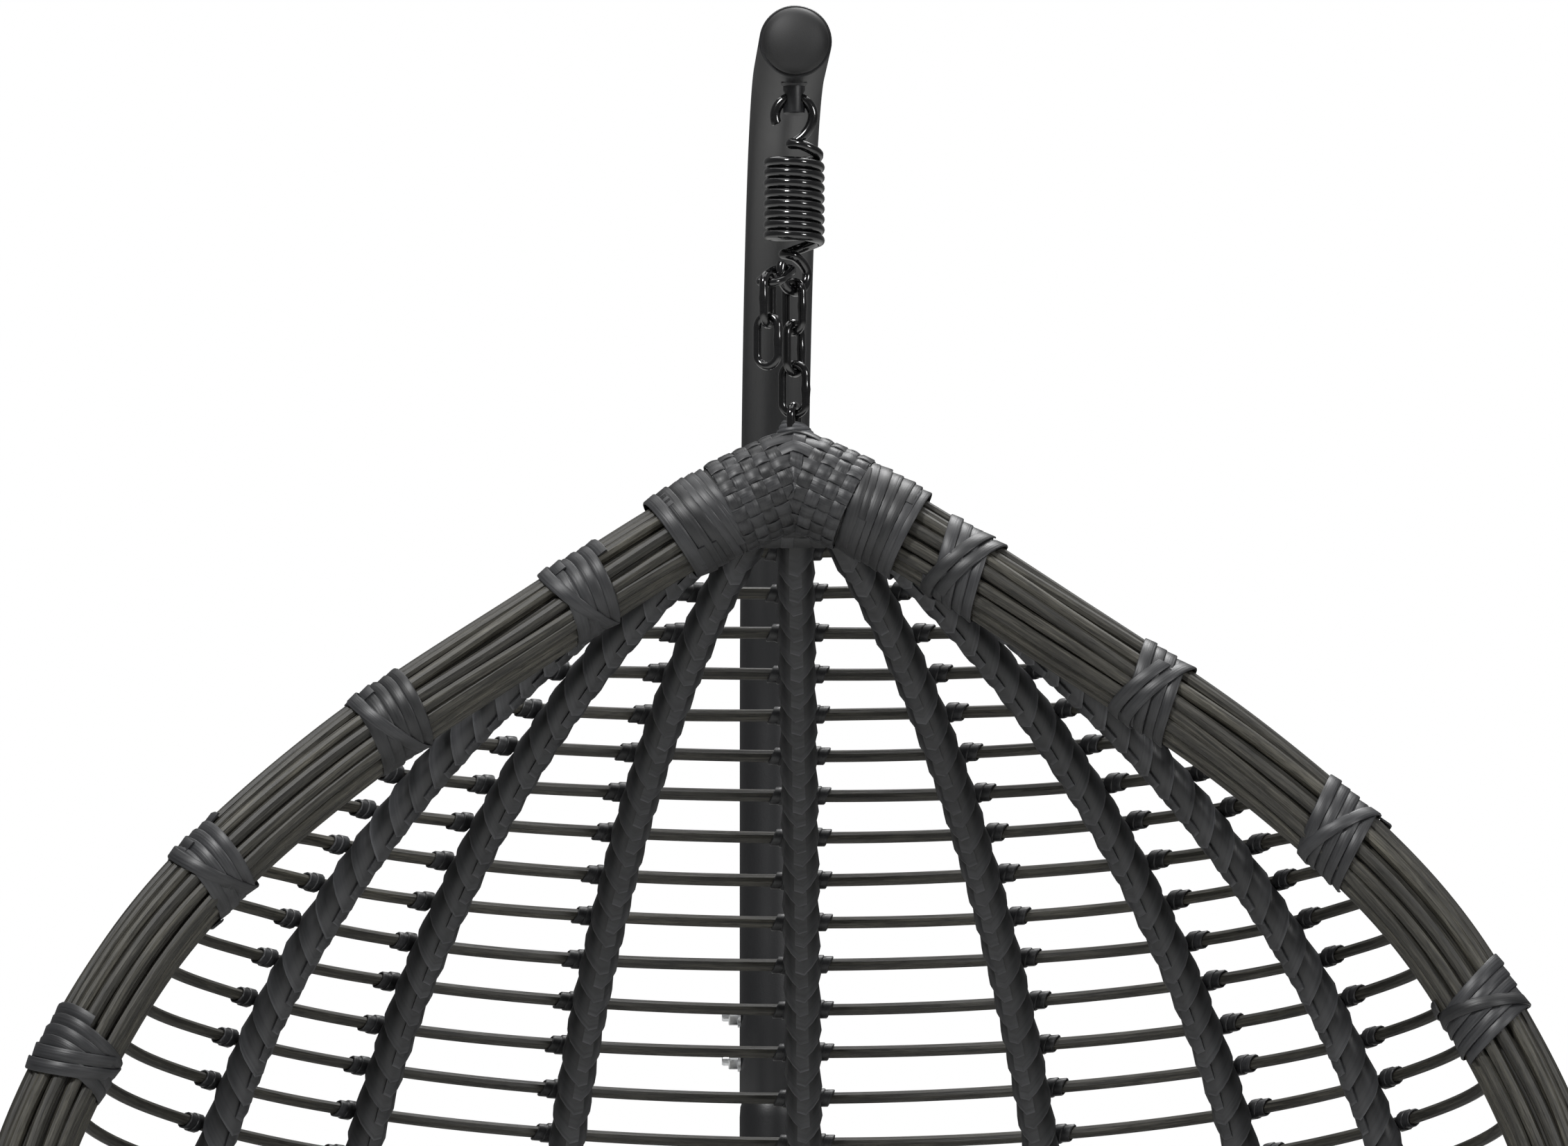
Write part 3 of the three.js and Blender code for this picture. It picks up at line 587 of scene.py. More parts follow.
def make_socket():
    part = Build()
    sleeve_tube(part, REAR)
    outer = TUBE_RADIUS + 3.3
    bore = TUBE_RADIUS + TUBE_GAP
    floor = RING_HEIGHT + 8
    part.turned([
        (0, floor), (outer, floor), (outer, CUP_TOP - 1), (outer - 1, CUP_TOP),
        (bore, CUP_TOP), (bore, CUP_BOTTOM), (0, CUP_BOTTOM),
    ], upright(0, REACH), 48)
    weld_bead(part, np.array([0, REACH, RING_HEIGHT + SLEEVE - 1.0]), outer + 0.6)
    steel(part, "pole_socket_steel", "pole_socket")


def make_spine():
    part = Build()
    low = -RING_RADIUS + SLEEVE - 2
    high = REACH - TUBE_RADIUS - 3.6
    route = np.array([(0, y, RING_HEIGHT) for y in np.linspace(low, high, 24)])
    part.tube(route, SPINE_RADIUS, 32)
    angle = circle(72)
    x, z = SPINE_RADIUS * np.cos(angle), RING_HEIGHT + SPINE_RADIUS * np.sin(angle)
    for y in (low + 2.5, high - 0.5):
        part.tube(np.stack([x, np.full(72, y), z], -1), 1.4, 8, closed=True)
    steel(part, "ring_spine_tube", "ring_spine")


def hexagon_head(part, place, low, high):
    """A hexagon with rounded corners between two heights."""
    angle = circle(48)
    flat = HEAD_ACROSS / 2 / np.cos((angle + math.pi / 6) % (math.pi / 3) - math.pi / 6)
    radius = np.minimum(flat, HEAD_ACROSS / math.sqrt(3) * 0.97)
    outline = ((0, low), (0.94, low), (1, low + 0.6), (1, high - 0.6), (0.93, high), (0, high))
    rows = np.array([polar(radius * share, angle, height) for share, height in outline])
    part.grid(place(rows), rows, wrap_columns=True)


def disc(part, place, radius, low, high, sides=32):
    part.turned([(0, low), (radius, low), (radius, high), (0, high)], place, sides)


def zinc(part, name):
    part.object(name + "_zinc", ZINC, "stand", "zinc", [name])


def make_ring_bolts():
    spread = SLEEVE_SPREAD * 0.6
    places = {"socket_bolt_right": REAR - spread, "socket_bolt_left": REAR + spread,
              "sleeve_bolt_left": FRONT - spread, "sleeve_bolt_right": FRONT + spread}
    for name, degrees in places.items():
        part = Build()
        place = upright(*on_ring(degrees), RING_HEIGHT)
        disc(part, place, 4, -9, SLEEVE - 1, 24)
        washer = [(0, SLEEVE - 1), (8.6, SLEEVE - 0.6), (8.8, SLEEVE + 0.6), (0, SLEEVE + 0.8)]
        part.turned(washer, place)
        hexagon_head(part, place, SLEEVE + 0.6, SLEEVE + 6.4)
        zinc(part, name)


def make_pole_bolts():
    """The two bolts through the pole joint, each with a head, a nut and two washers."""
    for i, rise in enumerate(POLE_BOLTS):
        part = Build()
        place = lambda rows, z=JOINT + rise: np.stack(
            [-rows[..., 2], rows[..., 1] + REACH, rows[..., 0] + z], -1)
        part.turned([(0, -30), (4, -30), (4, 34), (3.4, 35), (0, 35)], place, 24)
        for side in (-1, 1):
            disc(part, place, 8.2, side * (TUBE_RADIUS - 0.6), side * (TUBE_RADIUS + 1.2))
        hexagon_head(part, place, TUBE_RADIUS + 1, TUBE_RADIUS + 7.4)
        hexagon_head(part, place, -TUBE_RADIUS - 6.8, -TUBE_RADIUS - 1)
        zinc(part, "pole_bolt_%d" % (i + 1))


def make_feet():
    outline = [(0, 0), (20.5, 0), (23, 1.2), (24, 3.5), (23.4, 9), (22.2, 15), (20.5, 16.5), (16, 15),
               (0, 10)]
    for i, degrees in enumerate((45, 135, 225, 315)):
        part = Build()
        part.turned(outline, upright(*on_ring(degrees)), 48)
        part.object("foot_%d_pad" % (i + 1), RUBBER, "stand", "rubber", ["foot_%d" % (i + 1)])


def make_lower_pole():
    """The straight tube, drawn in at its top to a neck that the bent tube goes over."""
    bottom = CUP_BOTTOM + TUBE_GAP
    top = JOINT + NECK
    part = Build()
    part.turned([
        (BORE, bottom), (TUBE_RADIUS, bottom), (TUBE_RADIUS, 400), (TUBE_RADIUS, 800),
        (TUBE_RADIUS, JOINT - 12), (TUBE_RADIUS - 0.5, JOINT - 5), (TUBE_RADIUS - 1.6, JOINT - 2),
        (NECK_RADIUS, JOINT - 0.5), (NECK_RADIUS, top), (NECK_RADIUS - 2, top), (NECK_RADIUS - 2, JOINT - 14),
        (BORE, JOINT - 22), (BORE, bottom),
    ], upright(0, REACH), 56)
    steel(part, "pole_lower_tube", "pole_lower")


def make_upper_pole():
    """The bent tube with the arm."""
    angles = np.linspace(0, math.pi / 2, 40)
    reach, rise = REACH - BEND + BEND * np.cos(angles), ARM - BEND + BEND * np.sin(angles)
    bend = np.stack([np.zeros(40), reach, rise], -1)
    straight = np.array([(0, REACH, JOINT + z) for z in (TUBE_GAP, 1.2, 60, 150, 220)])
    arm = np.array([(0, y, ARM) for y in (90, 50, 20, 0, -20, -OVERHANG + 0.8, -OVERHANG)])
    route = np.vstack([straight, bend, arm])
    edge = TUBE_RADIUS - 0.6
    radius = np.full(len(route), float(TUBE_RADIUS))
    radius[[0, -1]] = edge
    line = Line(route, np.tile([1.0, 0, 0], (len(route), 1)))
    part = Build()
    part.tube(route, radius, 56, side=line.side, caps=False)
    part.tube(route[::-1], float(BORE), 40, side=line.side, caps=False)
    for end, flip in ((0, 1), (-1, -1)):
        angle = circle(56)[::flip, None]
        ring = np.cos(angle) * line.side[end] + np.sin(angle) * line.cross[end]
        lip = np.array([line.points[end] + r * ring for r in (BORE, edge)])
        part.grid(lip, lip, wrap_columns=True)
    steel(part, "pole_upper_tube", "pole_upper")


def make_plug():
    """The domed plug in the arm's end."""
    part = Build()
    part.turned([
        (0, -24), (19.4, -24), (20.6, -22), (20.6, 0.2), (21.1, 0.4), (21.2, 2.4), (20.6, 4.2), (19, 6.4),
        (16.4, 8.2), (12.6, 9.7), (8.2, 10.8), (4, 11.3), (0, 11.5),
    ], lambda rows: np.stack([rows[..., 0], -rows[..., 2] - OVERHANG, rows[..., 1] + ARM], -1), 56)
    part.object("arm_plug_cap", PLUG, "stand", "plug", ["arm_plug"])


def make_stud():
    """The stud under the arm, with a hole across it for the spring's hook."""
    part = Build()
    outline = [(0, -19), (5.6, -19), (6.8, -18.2), (7, -16.8), (7, -1.2), (8.6, 0.6), (7, 3), (7, 30),
               (0, 30)]
    part.turned([(radius, STUD_BASE + height) for radius, height in outline], upright(), 40)
    stud = steel(part, "hook_stud_pin", "hook_stud")
    drill = Build()
    across = lambda rows: np.stack([rows[..., 2], rows[..., 0], rows[..., 1] + HOOK - 1.2], -1)
    disc(drill, across, 5.4, -20, 20)
    cutter = drill.mesh("drill")
    weld(cutter)
    tool = placed("drill", cutter)
    cut = stud.modifiers.new("cross_hole", "BOOLEAN")
    cut.operation = "DIFFERENCE"
    cut.object = tool
    apply_modifiers(stud)
    bpy.data.objects.remove(tool)


def apply_modifiers(piece):
    graph = bpy.context.evaluated_depsgraph_get()
    mesh = bpy.data.meshes.new_from_object(piece.evaluated_get(graph))
    piece.modifiers.clear()
    piece.data = mesh


# ---- Suspension ----
def hook_points(start, up, turn, rise):
    """A hook: the wire crosses to the middle of the coil's end, then round from there."""
    centre = rise - HOOK_RADIUS
    turn = math.radians(turn)
    spots = []
    for degrees in np.arange(15, 151, 15):
        share = degrees / 150
        a = turn - up * math.radians(degrees)
        radius = COIL_RADIUS * (1 - share ** 1.6)
        height = WIRE * min(1.0, degrees / 70) + 2.5 * share ** 3
        spots.append((radius * math.cos(a), radius * math.sin(a), height))
    low = WIRE + 3.0
    sweep = [(0.17, 0.04), (0.45, 0.2), (0.74, 0.45), (0.94, 0.76)]
    arc = [(HOOK_RADIUS * x, low + (centre - low) * z) for x, z in sweep]
    for a in np.radians(np.arange(0, 212, 9)):
        arc.append((HOOK_RADIUS * math.cos(a), centre + HOOK_RADIUS * math.sin(a)))
    spots += [(x * math.cos(turn), x * math.sin(turn), z) for x, z in arc]
    return [(x, y, start + up * z) for x, y, z in spots]


def make_spring():
    turns = 8 + HOOK_TURN / 360
    first, last = COIL_TOP - WIRE / 2, COIL_BOTTOM + WIRE / 2
    steps = 260
    angle = 2 * math.pi * turns * np.arange(steps + 1) / steps
    coil = polar(COIL_RADIUS, angle, np.linspace(first, last, steps + 1))
    upper = np.array(hook_points(first, 1, 0, HOOK - first))[::-1]
    lower = np.array(hook_points(last, -1, HOOK_TURN, last - LOWER_HOOK))
    rough = np.vstack([upper, coil[3:-3], lower])
    route = catmull_rom(rough, True, 3 * len(rough))[0]
    part = Build()
    radius = np.full(len(route), WIRE / 2)
    radius[[0, -1]] = WIRE / 2 - 0.7
    part.tube(route, radius, 16)
    piece = part.object("spring_wire", GLOSS, "spring", "chain_steel", ["spring"])
    piece.parent = None
    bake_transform(piece)


def link_route(length):
    radius = (LINK_WIDTH - LINK_WIRE) / 2
    straight = length - LINK_WIDTH
    spots = []
    for side in (1, -1):
        for share in np.linspace(0, 1, 7)[:-1]:
            spots.append((side * radius, side * (share - 0.5) * straight))
        for a in np.linspace(0, math.pi, 17)[:-1]:
            spots.append((side * radius * math.cos(a), side * (straight / 2 + radius * math.sin(a))))
    return np.array([(x, 0, z) for x, z in spots])


def make_link(name, body, length, place, seam=True):
    part = Build()
    route = link_route(length)
    radius = np.full(len(route), LINK_WIRE / 2 + 0.2)
    if seam:
        radius[3] += 0.45
        radius[[2, 4]] += 0.2
    part.tube(place(route), radius, 16, closed=True)
    part.object(name + "_steel", GLOSS, body, "chain_steel", [name])


def turned_link(degrees, x, y, z):
    """A place for a link that hangs straight down, turned about its length."""
    cos, sin = math.cos(math.radians(degrees)), math.sin(math.radians(degrees))
    return lambda rows: np.stack([rows[..., 0] * cos + x, rows[..., 0] * sin + y, rows[..., 2] + z], -1)


def make_chain():
    for i, turn in enumerate((-48, 52, -12)):
        place = turned_link(turn, 0, 0, FIRST_LINK - i * LINK_PITCH)
        make_link("chain_link_%d" % (i + 1), "link_%d" % (i + 1), LINK_LENGTH, place)
    place = turned_link(72, 0, 0, LOOP_TOP - LOOP_LENGTH / 2)
    make_link("hanger_loop", "basket", LOOP_LENGTH, place, seam=False)


def make_tail():
    turn = math.radians(HOOK_TURN)
    limb = np.array([-HOOK_RADIUS * math.cos(turn), -HOOK_RADIUS * math.sin(turn), LOWER_HOOK + HOOK_RADIUS])
    lead = unit(np.array([-0.35, -0.85, -0.39]))
    across = unit(np.cross((0, 0, 1), lead))
    inside = LINK_LENGTH / 2 - LINK_WIRE
    centre = limb + lead * (inside - WIRE / 2 - 0.6)
    make_link("tail_link_1", "tail_1", LINK_LENGTH,
              lambda rows: centre + rows[..., :1] * across + rows[..., 2:] * lead)
    hung = centre + lead * (inside + LINK_WIRE / 2) + np.array([0, 0, LINK_WIRE + 0.6])
    hang = math.degrees(math.atan2(lead[1], lead[0]))
    for i in range(2):
        height = hung[2] - (LINK_LENGTH - LINK_WIRE) / 2 - i * LINK_PITCH
        make_link("tail_link_%d" % (i + 2), "tail_%d" % (i + 2), LINK_LENGTH,
                  turned_link(hang + i * 82, hung[0], hung[1], height))


# ---- Basket ----
def rim_loop(step=6.0):
    """The whole rim from the foot up the left side, over the apex and down, with its own frame."""
    distance = np.linspace(-RIM_LENGTH, RIM_LENGTH, int(2 * RIM_LENGTH / step))[:-1]
    points = along(RIM_LINE, RIM_WALK, np.abs(distance))
    points[:, 0] *= np.sign(distance)
    front = to_row(np.array([[0, -math.cos(LEAN), math.sin(LEAN)], [0, 0, 0]]))
    facing = np.tile(front[0] - front[1], (len(points), 1))
    return Line(to_row(points), facing, closed=True)


RIM = rim_loop()
APEX_AT = RIM.walk[-1] / 2  # the distance along RIM where the apex is


def make_rim():
    """The canes of the rim, each wavering a little, round a dark core that closes the gaps."""
    part = Build()
    count = 15
    bundle = BUNDLE - 4.3
    wave = lambda length: np.sin(RIM.walk / length + rng.uniform(0, 6))
    for i in range(count):
        angle = 2 * math.pi * i / count + rng.uniform(-0.03, 0.03)
        waver = 0.07 * wave(95) + 0.03 * wave(41)
        radius = bundle + rng.uniform(-0.5, 0.4) + 0.35 * wave(70)
        route = RIM.at(RIM.walk, angle + waver, radius)
        thick, tone = rng.uniform(3.9, 4.5), rng.uniform(0, 1)
        part.tube(route, thick, 10, tone=tone, closed=True, side=RIM.side, offset=900 * i)
    part.tube(RIM.points, bundle - 2.6, 16, tone=0.1, closed=True, side=RIM.side)
    part.object("rim_canes", CANES, "basket", "cane", ["rim_canes_front", "rim_canes_rear", "rim_core"])


def wound(part, middle, turns, pitch, radius, slant, lean_to, width=8.6):
    """Flat strip wound round the rim. Each turn runs at a slant, so its edges lie diagonally."""
    steps = int(turns * 28)
    share = np.arange(steps + 1) / steps
    angle = 2 * math.pi * turns * share + rng.uniform(0, 6)
    offset = (share - 0.5) * turns * pitch + slant * np.cos(angle - lean_to)
    place = lambda shift, out: RIM.at(middle + offset + shift, angle, np.full(len(angle), out))
    ahead = unit(place(0.5, radius) - place(-0.5, radius))
    centre = RIM.at(middle + offset, angle, radius + 0.35 * np.sin(angle * 0.5))
    normal = unit(place(0, radius + 1) - place(0, radius))
    tipped = 0.16
    outer, across = unit(normal - tipped * ahead), unit(ahead + tipped * normal)
    strip_on(part, centre, outer, across, width, 1.2, 0.1, 0.32)


def strip_on(part, centre, normal, across, width, thickness, dark, light, closed=False):
    """A strap with a tone and a piece of the grain of its own."""
    tone, offset = rng.uniform(dark, light), rng.uniform(0, 900)
    part.strap(centre, normal, across, width, thickness, tone=tone, closed=closed, offset=offset)


def make_bands():
    part = Build()
    bands = int(RIM_LENGTH // BAND_PITCH)
    for i in range(1, bands + 1):
        for side in (-1, 1):
            middle = APEX_AT + side * (i * BAND_PITCH + BAND_SHIFT[side])
            lean_to = side * 1.1 + 0.4
            wound(part, middle, 4.6, 7.4, BUNDLE + 0.5, 6.5, lean_to)
            wound(part, middle + rng.uniform(-3, 3), 1.4, 9, BUNDLE + 1.6, -9.5, lean_to)
    nodes = ["rim_band_%s_%d" % (side, i) for side in ("left", "right") for i in range(1, BANDS_IN_CAD + 1)]
    part.object("rim_bands", STRIP, "basket", "strip", nodes)


def weave(part, place, length, girth, rows, columns, lift, closed, width, thickness=1.1):
    """A plain weave over a patch. place(u, v, out) gives points, u along its length, v round it."""
    for i in range(rows):
        v = np.linspace(0, girth, columns * 6 + 1)
        v = v[:-1] if closed else v
        u = np.full(len(v), (i + 0.5) / rows * length)
        over = lift * np.cos(math.pi * (v / girth * columns - 0.5) + math.pi * i)
        strap_on(part, place, u, v, over, (0.4, 0), width, thickness, closed)
    for j in range(columns):
        u = np.linspace(0, length, rows * 6 + 1)
        v = np.full(len(u), (j + 0.5) / columns * girth)
        over = -lift * np.cos(math.pi * (u / length * rows - 0.5) + math.pi * j)
        strap_on(part, place, u, v, over, (0, 0.4), width, thickness, False)


def strap_on(part, place, u, v, over, aside, width, thickness, closed):
    """One strip of a weave, along u and v. aside is a small step across it."""
    centre = place(u, v, over)
    across = unit(place(u + aside[0], v + aside[1], over) - place(u - aside[0], v - aside[1], over))
    normal = unit(place(u, v, over + 0.5) - place(u, v, over - 0.5))
    strip_on(part, centre, normal, across, width, thickness, 0.08, 0.34, closed)


def make_apex():
    part = Build()
    core = BUNDLE + 3.4
    inner = np.abs(RIM.walk - APEX_AT) < WRAP_HALF
    part.tube(RIM.points[inner], core, 32, tone=0.0, side=RIM.side[inner])
    half = 45
    top = core + 1.4
    around = lambda u, v, out: RIM.at(APEX_AT - half + u, v / top, top + out)
    weave(part, around, 2 * half, 2 * math.pi * top, 10, 20, 1.0, True, 8.7, 1.3)
    for side in (-1, 1):
        for k in range(5):
            middle = APEX_AT + side * (half + 3 + 8.0 * k)
            wound(part, middle, 1.5, 5, core + 1.0 + 0.35 * (k % 2), side * (5.5 - k), side, 9.2)
    crown_patch(part)
    angle = circle(48)
    for k in range(4):
        height = APEX + BUNDLE + 1.5 + 2.2 * k + 1.1 * np.cos(angle + k)
        ring = polar(10.5 - 1.5 * k, angle, height)
        part.tube(ring, 2.3, 8, tone=rng.uniform(0.2, 0.9), closed=True)
    part.object("apex_weave", STRIP, "basket", "strip", ["apex_wrap"])


def crown_patch(part):
    """The woven cap behind the apex, where the ribs come together."""
    low, length, girth, spread = 14, 33, 90.0, 0.7
    for side in (1, -1):
        def place(u, v, out, side=side):
            rows = []
            for one_u, one_v, one_out in zip(u, v, np.broadcast_to(out, u.shape)):
                t = (low + one_u) / BACK_LENGTH
                share = np.clip(spread * (2 * one_v / girth - 1), -0.9, 0.9)
                rows.append(lifted(max(t, 0.004), share, side * (11.5 + one_out)))
            return to_row(np.array(rows))
        u, v = np.meshgrid(np.linspace(0, length, 10), np.linspace(0, girth, 24), indexing="ij")
        rows = place(u.ravel(), v.ravel(), np.full(u.size, -0.8)).reshape(10, 24, 3)
        part.grid(rows, rows, 0.2)
        weave(part, place, length, girth, 4, 10, 0.6, False, 8.2)


def rib_share(t, share):
    """A rib's share at t. Past the rim's widest place the ribs run on without drawing together."""
    distance = rim_share(t) * RIM_LENGTH
    half = along(RIM_LINE, RIM_WALK, distance)[0]
    return share * HALF_WIDTH / max(half, 1) if distance > WIDEST_ALONG else share


def rib_line(share):
    """The route of one rib, from under the crown to the rim, with angle 0 towards the sitter."""
    points, inward = [], []
    t = 30 / BACK_LENGTH
    while t < 0.9995:
        here = min(0.9999, rib_share(t, share))
        point = shell(t, here)
        to_rim = np.linalg.norm(RIM_LINE - point, axis=1).min()
        if t > 0.2 and to_rim < BUNDLE - 6:
            break
        points.append(point)
        inward.append(-outward(t, here))
        t += 0.004
    return np.array(points), np.array(inward)


def bind_rib(part, line):
    """Flat strips braided down the rib: left and right in turn, each lapping over the middle."""
    core, pitch, width, dip = RIB - 2.8, 21.0, 26.0, 15.0
    part.tube(line.points, core, 12, tone=0.0, side=line.side)
    for i in range(int(line.walk[-1] / (pitch / 2)) - 2):
        side = 1 if i % 2 else -1
        angle = np.linspace(-0.32, math.pi + 0.2, BRAID_STEPS)
        droop = dip * (1 - np.abs(angle) / (0.5 * math.pi))
        shade = rng.uniform(0.75, 1.1)
        rows = []
        for share, lift in ((0, 0.1), (0.3, 1.4), (0.92, 3.3), (1.0, 2.8), (1.0, 0.2)):
            lap = np.where(angle < 0.3, 0.9, 0.0)
            rows.append(line.at(i * pitch / 2 + droop + share * width, side * angle, core + lift + lap))
        points = np.stack(rows, 0)
        across = np.broadcast_to(np.linspace(0, width, 5)[:, None], points.shape[:2])
        walked = np.broadcast_to((angle * core)[None, :], points.shape[:2]) + rng.uniform(0, 900)
        grain = np.stack([walked, across, np.zeros(points.shape[:2])], -1)
        # Painted shade and highlight across each strip: black along its upper edge, which lies under the
        # strip before, and on the ledge's underside; brightest along its lower edge, as a painted highlight.
        # The strip's random tone scales all of it.
        tone = np.repeat(np.array([0.0, 0.05, 0.5, 1.0, 0.0]) * shade, BRAID_STEPS)
        index = part.grid(points, grain, tone, wrap_rows=True)
        part.faces.append(tuple(index[:, 0].tolist()))
        part.faces.append(tuple(index[::-1, -1].tolist()))


def make_ribs():
    names = {0.0: "centre_rib"}
    for i, share in enumerate(RIB_SHARES):
        names[share] = "rib_right_%d" % (i + 1)
        names[-share] = "rib_left_%d" % (i + 1)
    for share, name in names.items():
        points, inward = rib_line(abs(share))
        if share < 0:
            points[:, 0] *= -1
            inward[:, 0] *= -1
        part = Build()
        bind_rib(part, Line(to_row(points), to_row(inward) - to_row(np.zeros(3))))
        part.object(name + "_bound", STRIP, "basket", "strip", [name])


def rung_points(t):
    """One cane from rim to rim. It runs outside the ribs, then in between the rim's canes."""
    limit, leaves = 87.5, 61.0  # degrees round, to the cane's end and to where it leaves the ribs
    degrees = np.linspace(-limit, limit, 96)
    share = np.sin(np.radians(degrees))
    fall = np.clip((np.abs(degrees) - leaves) / (limit - leaves), 0, 1)
    lift = (RIB + CANE + 0.6) * (1 - fall * fall * (3 - 2 * fall))
    return share, lifted(t, share, lift[:, None])


def make_rungs():
    part = Build()
    knots = Build()
    ribs = (*(-share for share in reversed(RIB_SHARES)), 0, *RIB_SHARES)
    for i in range(RUNG_COUNT):
        t = (FIRST_RUNG + RUNG_PITCH * i) / BACK_LENGTH
        shares, points = rung_points(t)
        wobble = np.sin(np.linspace(0, 14, len(points)) + rng.uniform(0, 6))[:, None] * (0, 0, 0.5)
        route = to_row(points + wobble)
        part.tube(route, CANE * rng.uniform(0.96, 1.04), 10, tone=rng.uniform(0, 1), offset=1200 * i)
        walk = distances(route)
        for share in ribs:
            here = rib_share(t, share)
            if abs(here) > shares[-1] - 0.01:
                continue
            middle = np.interp(here, shares, walk)
            for side in (-1, 1) if share == 0 else (math.copysign(1, share),):
                bind_rung(knots, route, walk, middle + side * (RIB + 2.6), 0.5)
                bind_rung(knots, route, walk, middle + side * (RIB - 3.5), 1.3)
    belts = ["rung_belt_%d" % k for k in range(1, BELTS + 1)]
    part.object("rungs", CANES, "basket", "cane", belts)
    knots.object("rung_knots", STRIP, "basket", "strip")


def bind_rung(part, route, walk, middle, extra):
    """A short turn of flat strip round a cane beside a rib."""
    centre = along(route, walk, middle)
    ahead = unit(along(route, walk, middle + 2) - along(route, walk, middle - 2))
    up = unit(np.cross(ahead, unit(np.cross(np.array([0, 0, 1.0]), ahead))))
    angle = circle(14)[:, None]
    normal = np.cos(angle) * up + np.sin(angle) * np.cross(ahead, up)
    ring = centre + normal * (CANE + 0.7 + extra) + 2.2 * np.cos(angle) * ahead
    strip_on(part, ring, normal, np.tile(ahead, (len(angle), 1)), 7.0, 1.1, 0.1, 0.32, closed=True)


# ---- Cushion ----
def corners(piece):
    return np.array([v.co for v in piece.data.vertices])


def move_corners(piece, points):
    piece.data.vertices.foreach_set("co", points.ravel().astype(np.float32))


def cushion_start():
    """A copy of the cushion's CAD solid, a little smaller, remeshed for the cloth."""
    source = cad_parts["seat_cushion"]
    mesh = source.data.copy()
    mesh.transform(source.matrix_world)
    pad = placed("seat_pad", mesh)
    points = corners(pad)
    centre = points.mean(0)
    shrunk = centre + (points - centre) * np.array([0.955, 0.955, 0.93])
    move_corners(pad, shrunk)
    remesh = pad.modifiers.new("remesh", "REMESH")
    remesh.mode = "VOXEL"
    remesh.voxel_size = 0.008
    apply_modifiers(pad)
    smooth = pad.modifiers.new("smooth", "SMOOTH")
    smooth.iterations = 12
    smooth.factor = 0.6
    apply_modifiers(pad)
    return pad


def inflate(pad):
    """Blows the cover out with the cloth simulation, and limits how far a point moves."""
    most = 0.02
    before = corners(pad)
    cloth = pad.modifiers.new("cloth", "CLOTH")
    cloth.settings.quality = 5
    cloth.settings.mass = 0.3
    cloth.settings.tension_stiffness = 18
    cloth.settings.bending_stiffness = 1.2
    cloth.settings.use_pressure = True
    cloth.settings.uniform_pressure_force = 4
    cloth.settings.effector_weights.gravity = 0
    for step in range(1, 21):
        bpy.context.scene.frame_set(step)
    apply_modifiers(pad)
    bpy.context.scene.frame_set(1)
    move = corners(pad) - before
    length = np.linalg.norm(move, axis=1, keepdims=True)
    move_corners(pad, before + move * np.minimum(1, most / np.maximum(length, 1e-9)))


def tuft_places(centre):
    spots = [(0.0, 0.0)]
    for i in range(6):
        a = math.radians(60 * i + 30)
        spots.append((0.118 * math.cos(a), 0.118 * math.sin(a)))
    return [(centre[0] + x, centre[1] + y) for x, y in spots]


def make_cushion():
    pad = cushion_start()
    inflate(pad)
    points = corners(pad)
    centre = (points.min(0) + points.max(0)) / 2
    top = np.array([v.normal.z for v in pad.data.vertices]) > 0.3
    buttons = Build()
    for x, y in tuft_places(centre):
        far = np.hypot(points[:, 0] - x, points[:, 1] - y)
        level = points[top & (far < 0.02)][:, 2].mean()
        points[top, 2] -= 0.019 * np.exp(-(far[top] / 0.03) ** 2) + 0.006 * np.exp(-(far[top] / 0.075) ** 2)
        outline = [(0, -3), (8, -2), (10.4, 0), (10, 2.6), (6.5, 4.6), (0, 5.4)]
        buttons.turned(outline, upright(x / MM, y / MM, (level - 0.0235) / MM), 28)
    move_corners(pad, points)
    dress(pad)
    buttons.object("seat_buttons", CLOTH, "basket", "cushion")
    make_piping(points, centre)


def dress(pad):
    pad.data.materials.clear()
    pad.data.materials.append(CLOTH)
    for face in pad.data.polygons:
        face.use_smooth = True
    fine = pad.modifiers.new("fine", "SUBSURF")
    fine.levels = fine.render_levels = 1
    apply_modifiers(pad)
    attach(pad, "basket")
    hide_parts("seat_cushion")


def make_piping(points, centre):
    """A corded seam round the pad's widest line."""
    bins = 72
    angle = np.arctan2(points[:, 1] - centre[1], points[:, 0] - centre[0])
    radius = np.hypot(points[:, 0] - centre[0], points[:, 1] - centre[1])
    ring = []
    for i in range(bins):
        middle = -math.pi + 2 * math.pi * (i + 0.5) / bins
        near = np.abs((angle - middle + math.pi) % (2 * math.pi) - math.pi) < math.pi / bins * 1.6
        widest = np.where(near)[0][np.argsort(radius[near])[-6:]]
        ring.append((radius[widest].mean(), points[widest, 2].mean()))
    ring = np.array(ring)
    spectrum = np.fft.rfft(ring, axis=0)
    spectrum[7:] = 0
    ring = np.fft.irfft(spectrum, bins, axis=0)
    turn = -math.pi + 2 * math.pi * (np.arange(bins) + 0.5) / bins
    route = polar(ring[:, 0], turn, ring[:, 1]) + (centre[0], centre[1], 0)
    part = Build()
    part.tube(route / MM, 4.2, 12, closed=True)
    part.object("seat_piping", CLOTH, "basket", "cushion")


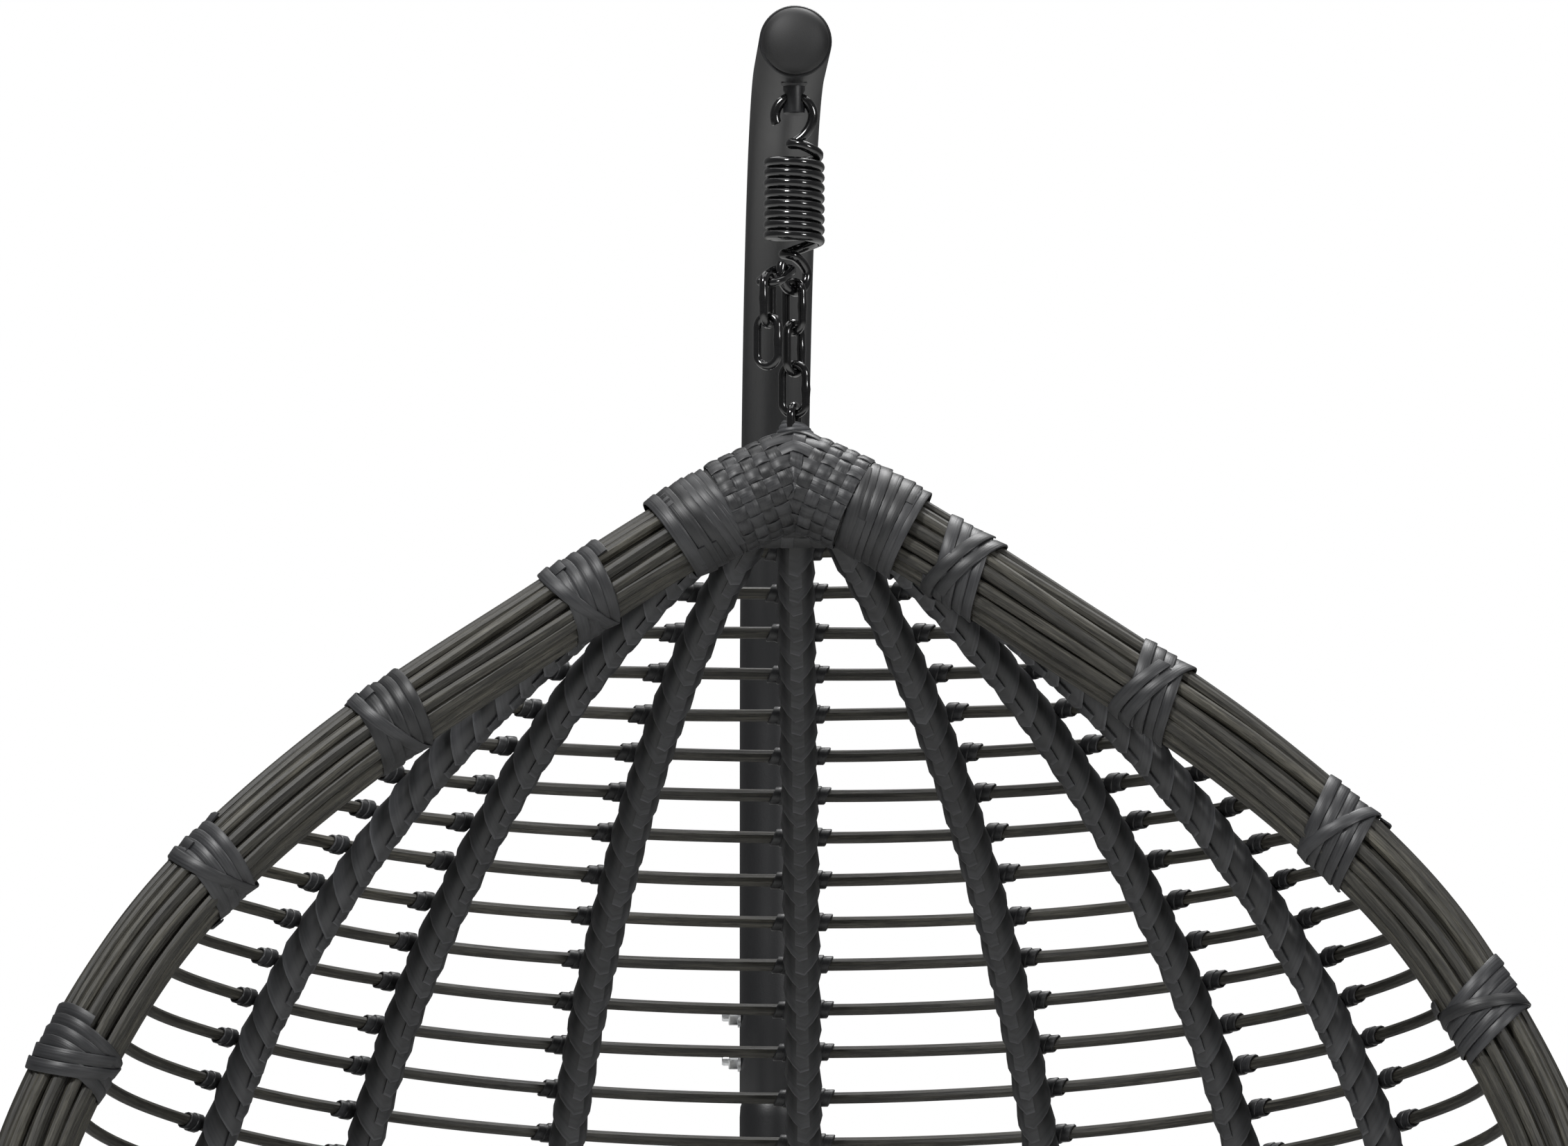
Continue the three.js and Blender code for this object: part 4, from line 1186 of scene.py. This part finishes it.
# ---- Stage ----
FLOOR_SIZE = 120
WORLD_STRENGTH = 0.17
AIM = np.array([0, 0, 1.3])
LAMPS = (  # name, place, size in metres, power in watts
    ("key", (-1.8, -3.0, 4.4), 0.8, 170),
    ("fill", (2.6, -3.2, 3.0), 0.9, 60),
    ("top", (0.6, 1.4, 4.2), 1.2, 50),
    ("sky", (0.0, 1.0, 8.0), 9.0, 420),
)
CAMERA_AT = (-0.18, -6.5, 1.0)
CAMERA_UP = math.radians(4.85)
CAMERA_RIGHT = math.radians(1.53)
LENS = 236.8


def make_stage():
    bpy.ops.mesh.primitive_plane_add(size=FLOOR_SIZE, location=(0, 0, -0.0002))
    floor = bpy.context.object
    floor.name = "floor"
    floor.data.materials.append(Shader("floor_paint", (0.78, 0.78, 0.77), 0.7).material)
    make_world()
    for name, place, size, power in LAMPS:
        lamp = bpy.data.lights.new(name, "AREA")
        lamp.size = size
        lamp.energy = power
        holder = placed(name, lamp)
        holder.location = place
        aim = unit(AIM - np.array(place))
        holder.rotation_euler = (math.acos(-aim[2]), 0, math.atan2(aim[1], aim[0]) - math.pi / 2)


def make_world():
    """White where the camera looks past everything, and a weak light otherwise."""
    world = bpy.data.worlds.new("studio")
    world.use_nodes = True
    tree = world.node_tree
    seen = tree.nodes["Background"]
    seen.inputs["Color"].default_value = (1, 1, 1, 1)
    lit = tree.nodes.new("ShaderNodeBackground")
    lit.inputs["Strength"].default_value = WORLD_STRENGTH
    path = tree.nodes.new("ShaderNodeLightPath")
    both = tree.nodes.new("ShaderNodeMixShader")
    tree.links.new(path.outputs["Is Camera Ray"], both.inputs["Fac"])
    tree.links.new(lit.outputs["Background"], both.inputs[1])
    tree.links.new(seen.outputs["Background"], both.inputs[2])
    tree.links.new(both.outputs["Shader"], tree.nodes["World Output"].inputs["Surface"])
    bpy.context.scene.world = world


def make_camera():
    camera = bpy.data.cameras.new("camera")
    camera.sensor_width = 36
    camera.lens = LENS
    camera.clip_end = 200
    holder = placed("camera", camera)
    holder.location = CAMERA_AT
    holder.rotation_euler = (math.pi / 2 + CAMERA_UP, 0, -CAMERA_RIGHT)
    bpy.context.scene.camera = holder
    bpy.context.scene.view_settings.view_transform = "Standard"


make_camera()
make_stage()
make_ring()
make_socket()
make_spine()
make_ring_bolts()
make_pole_bolts()
make_feet()
make_lower_pole()
make_upper_pole()
make_plug()
make_stud()
make_spring()
make_chain()
make_tail()
make_rim()
make_bands()
make_apex()
make_ribs()
make_rungs()
make_cushion()
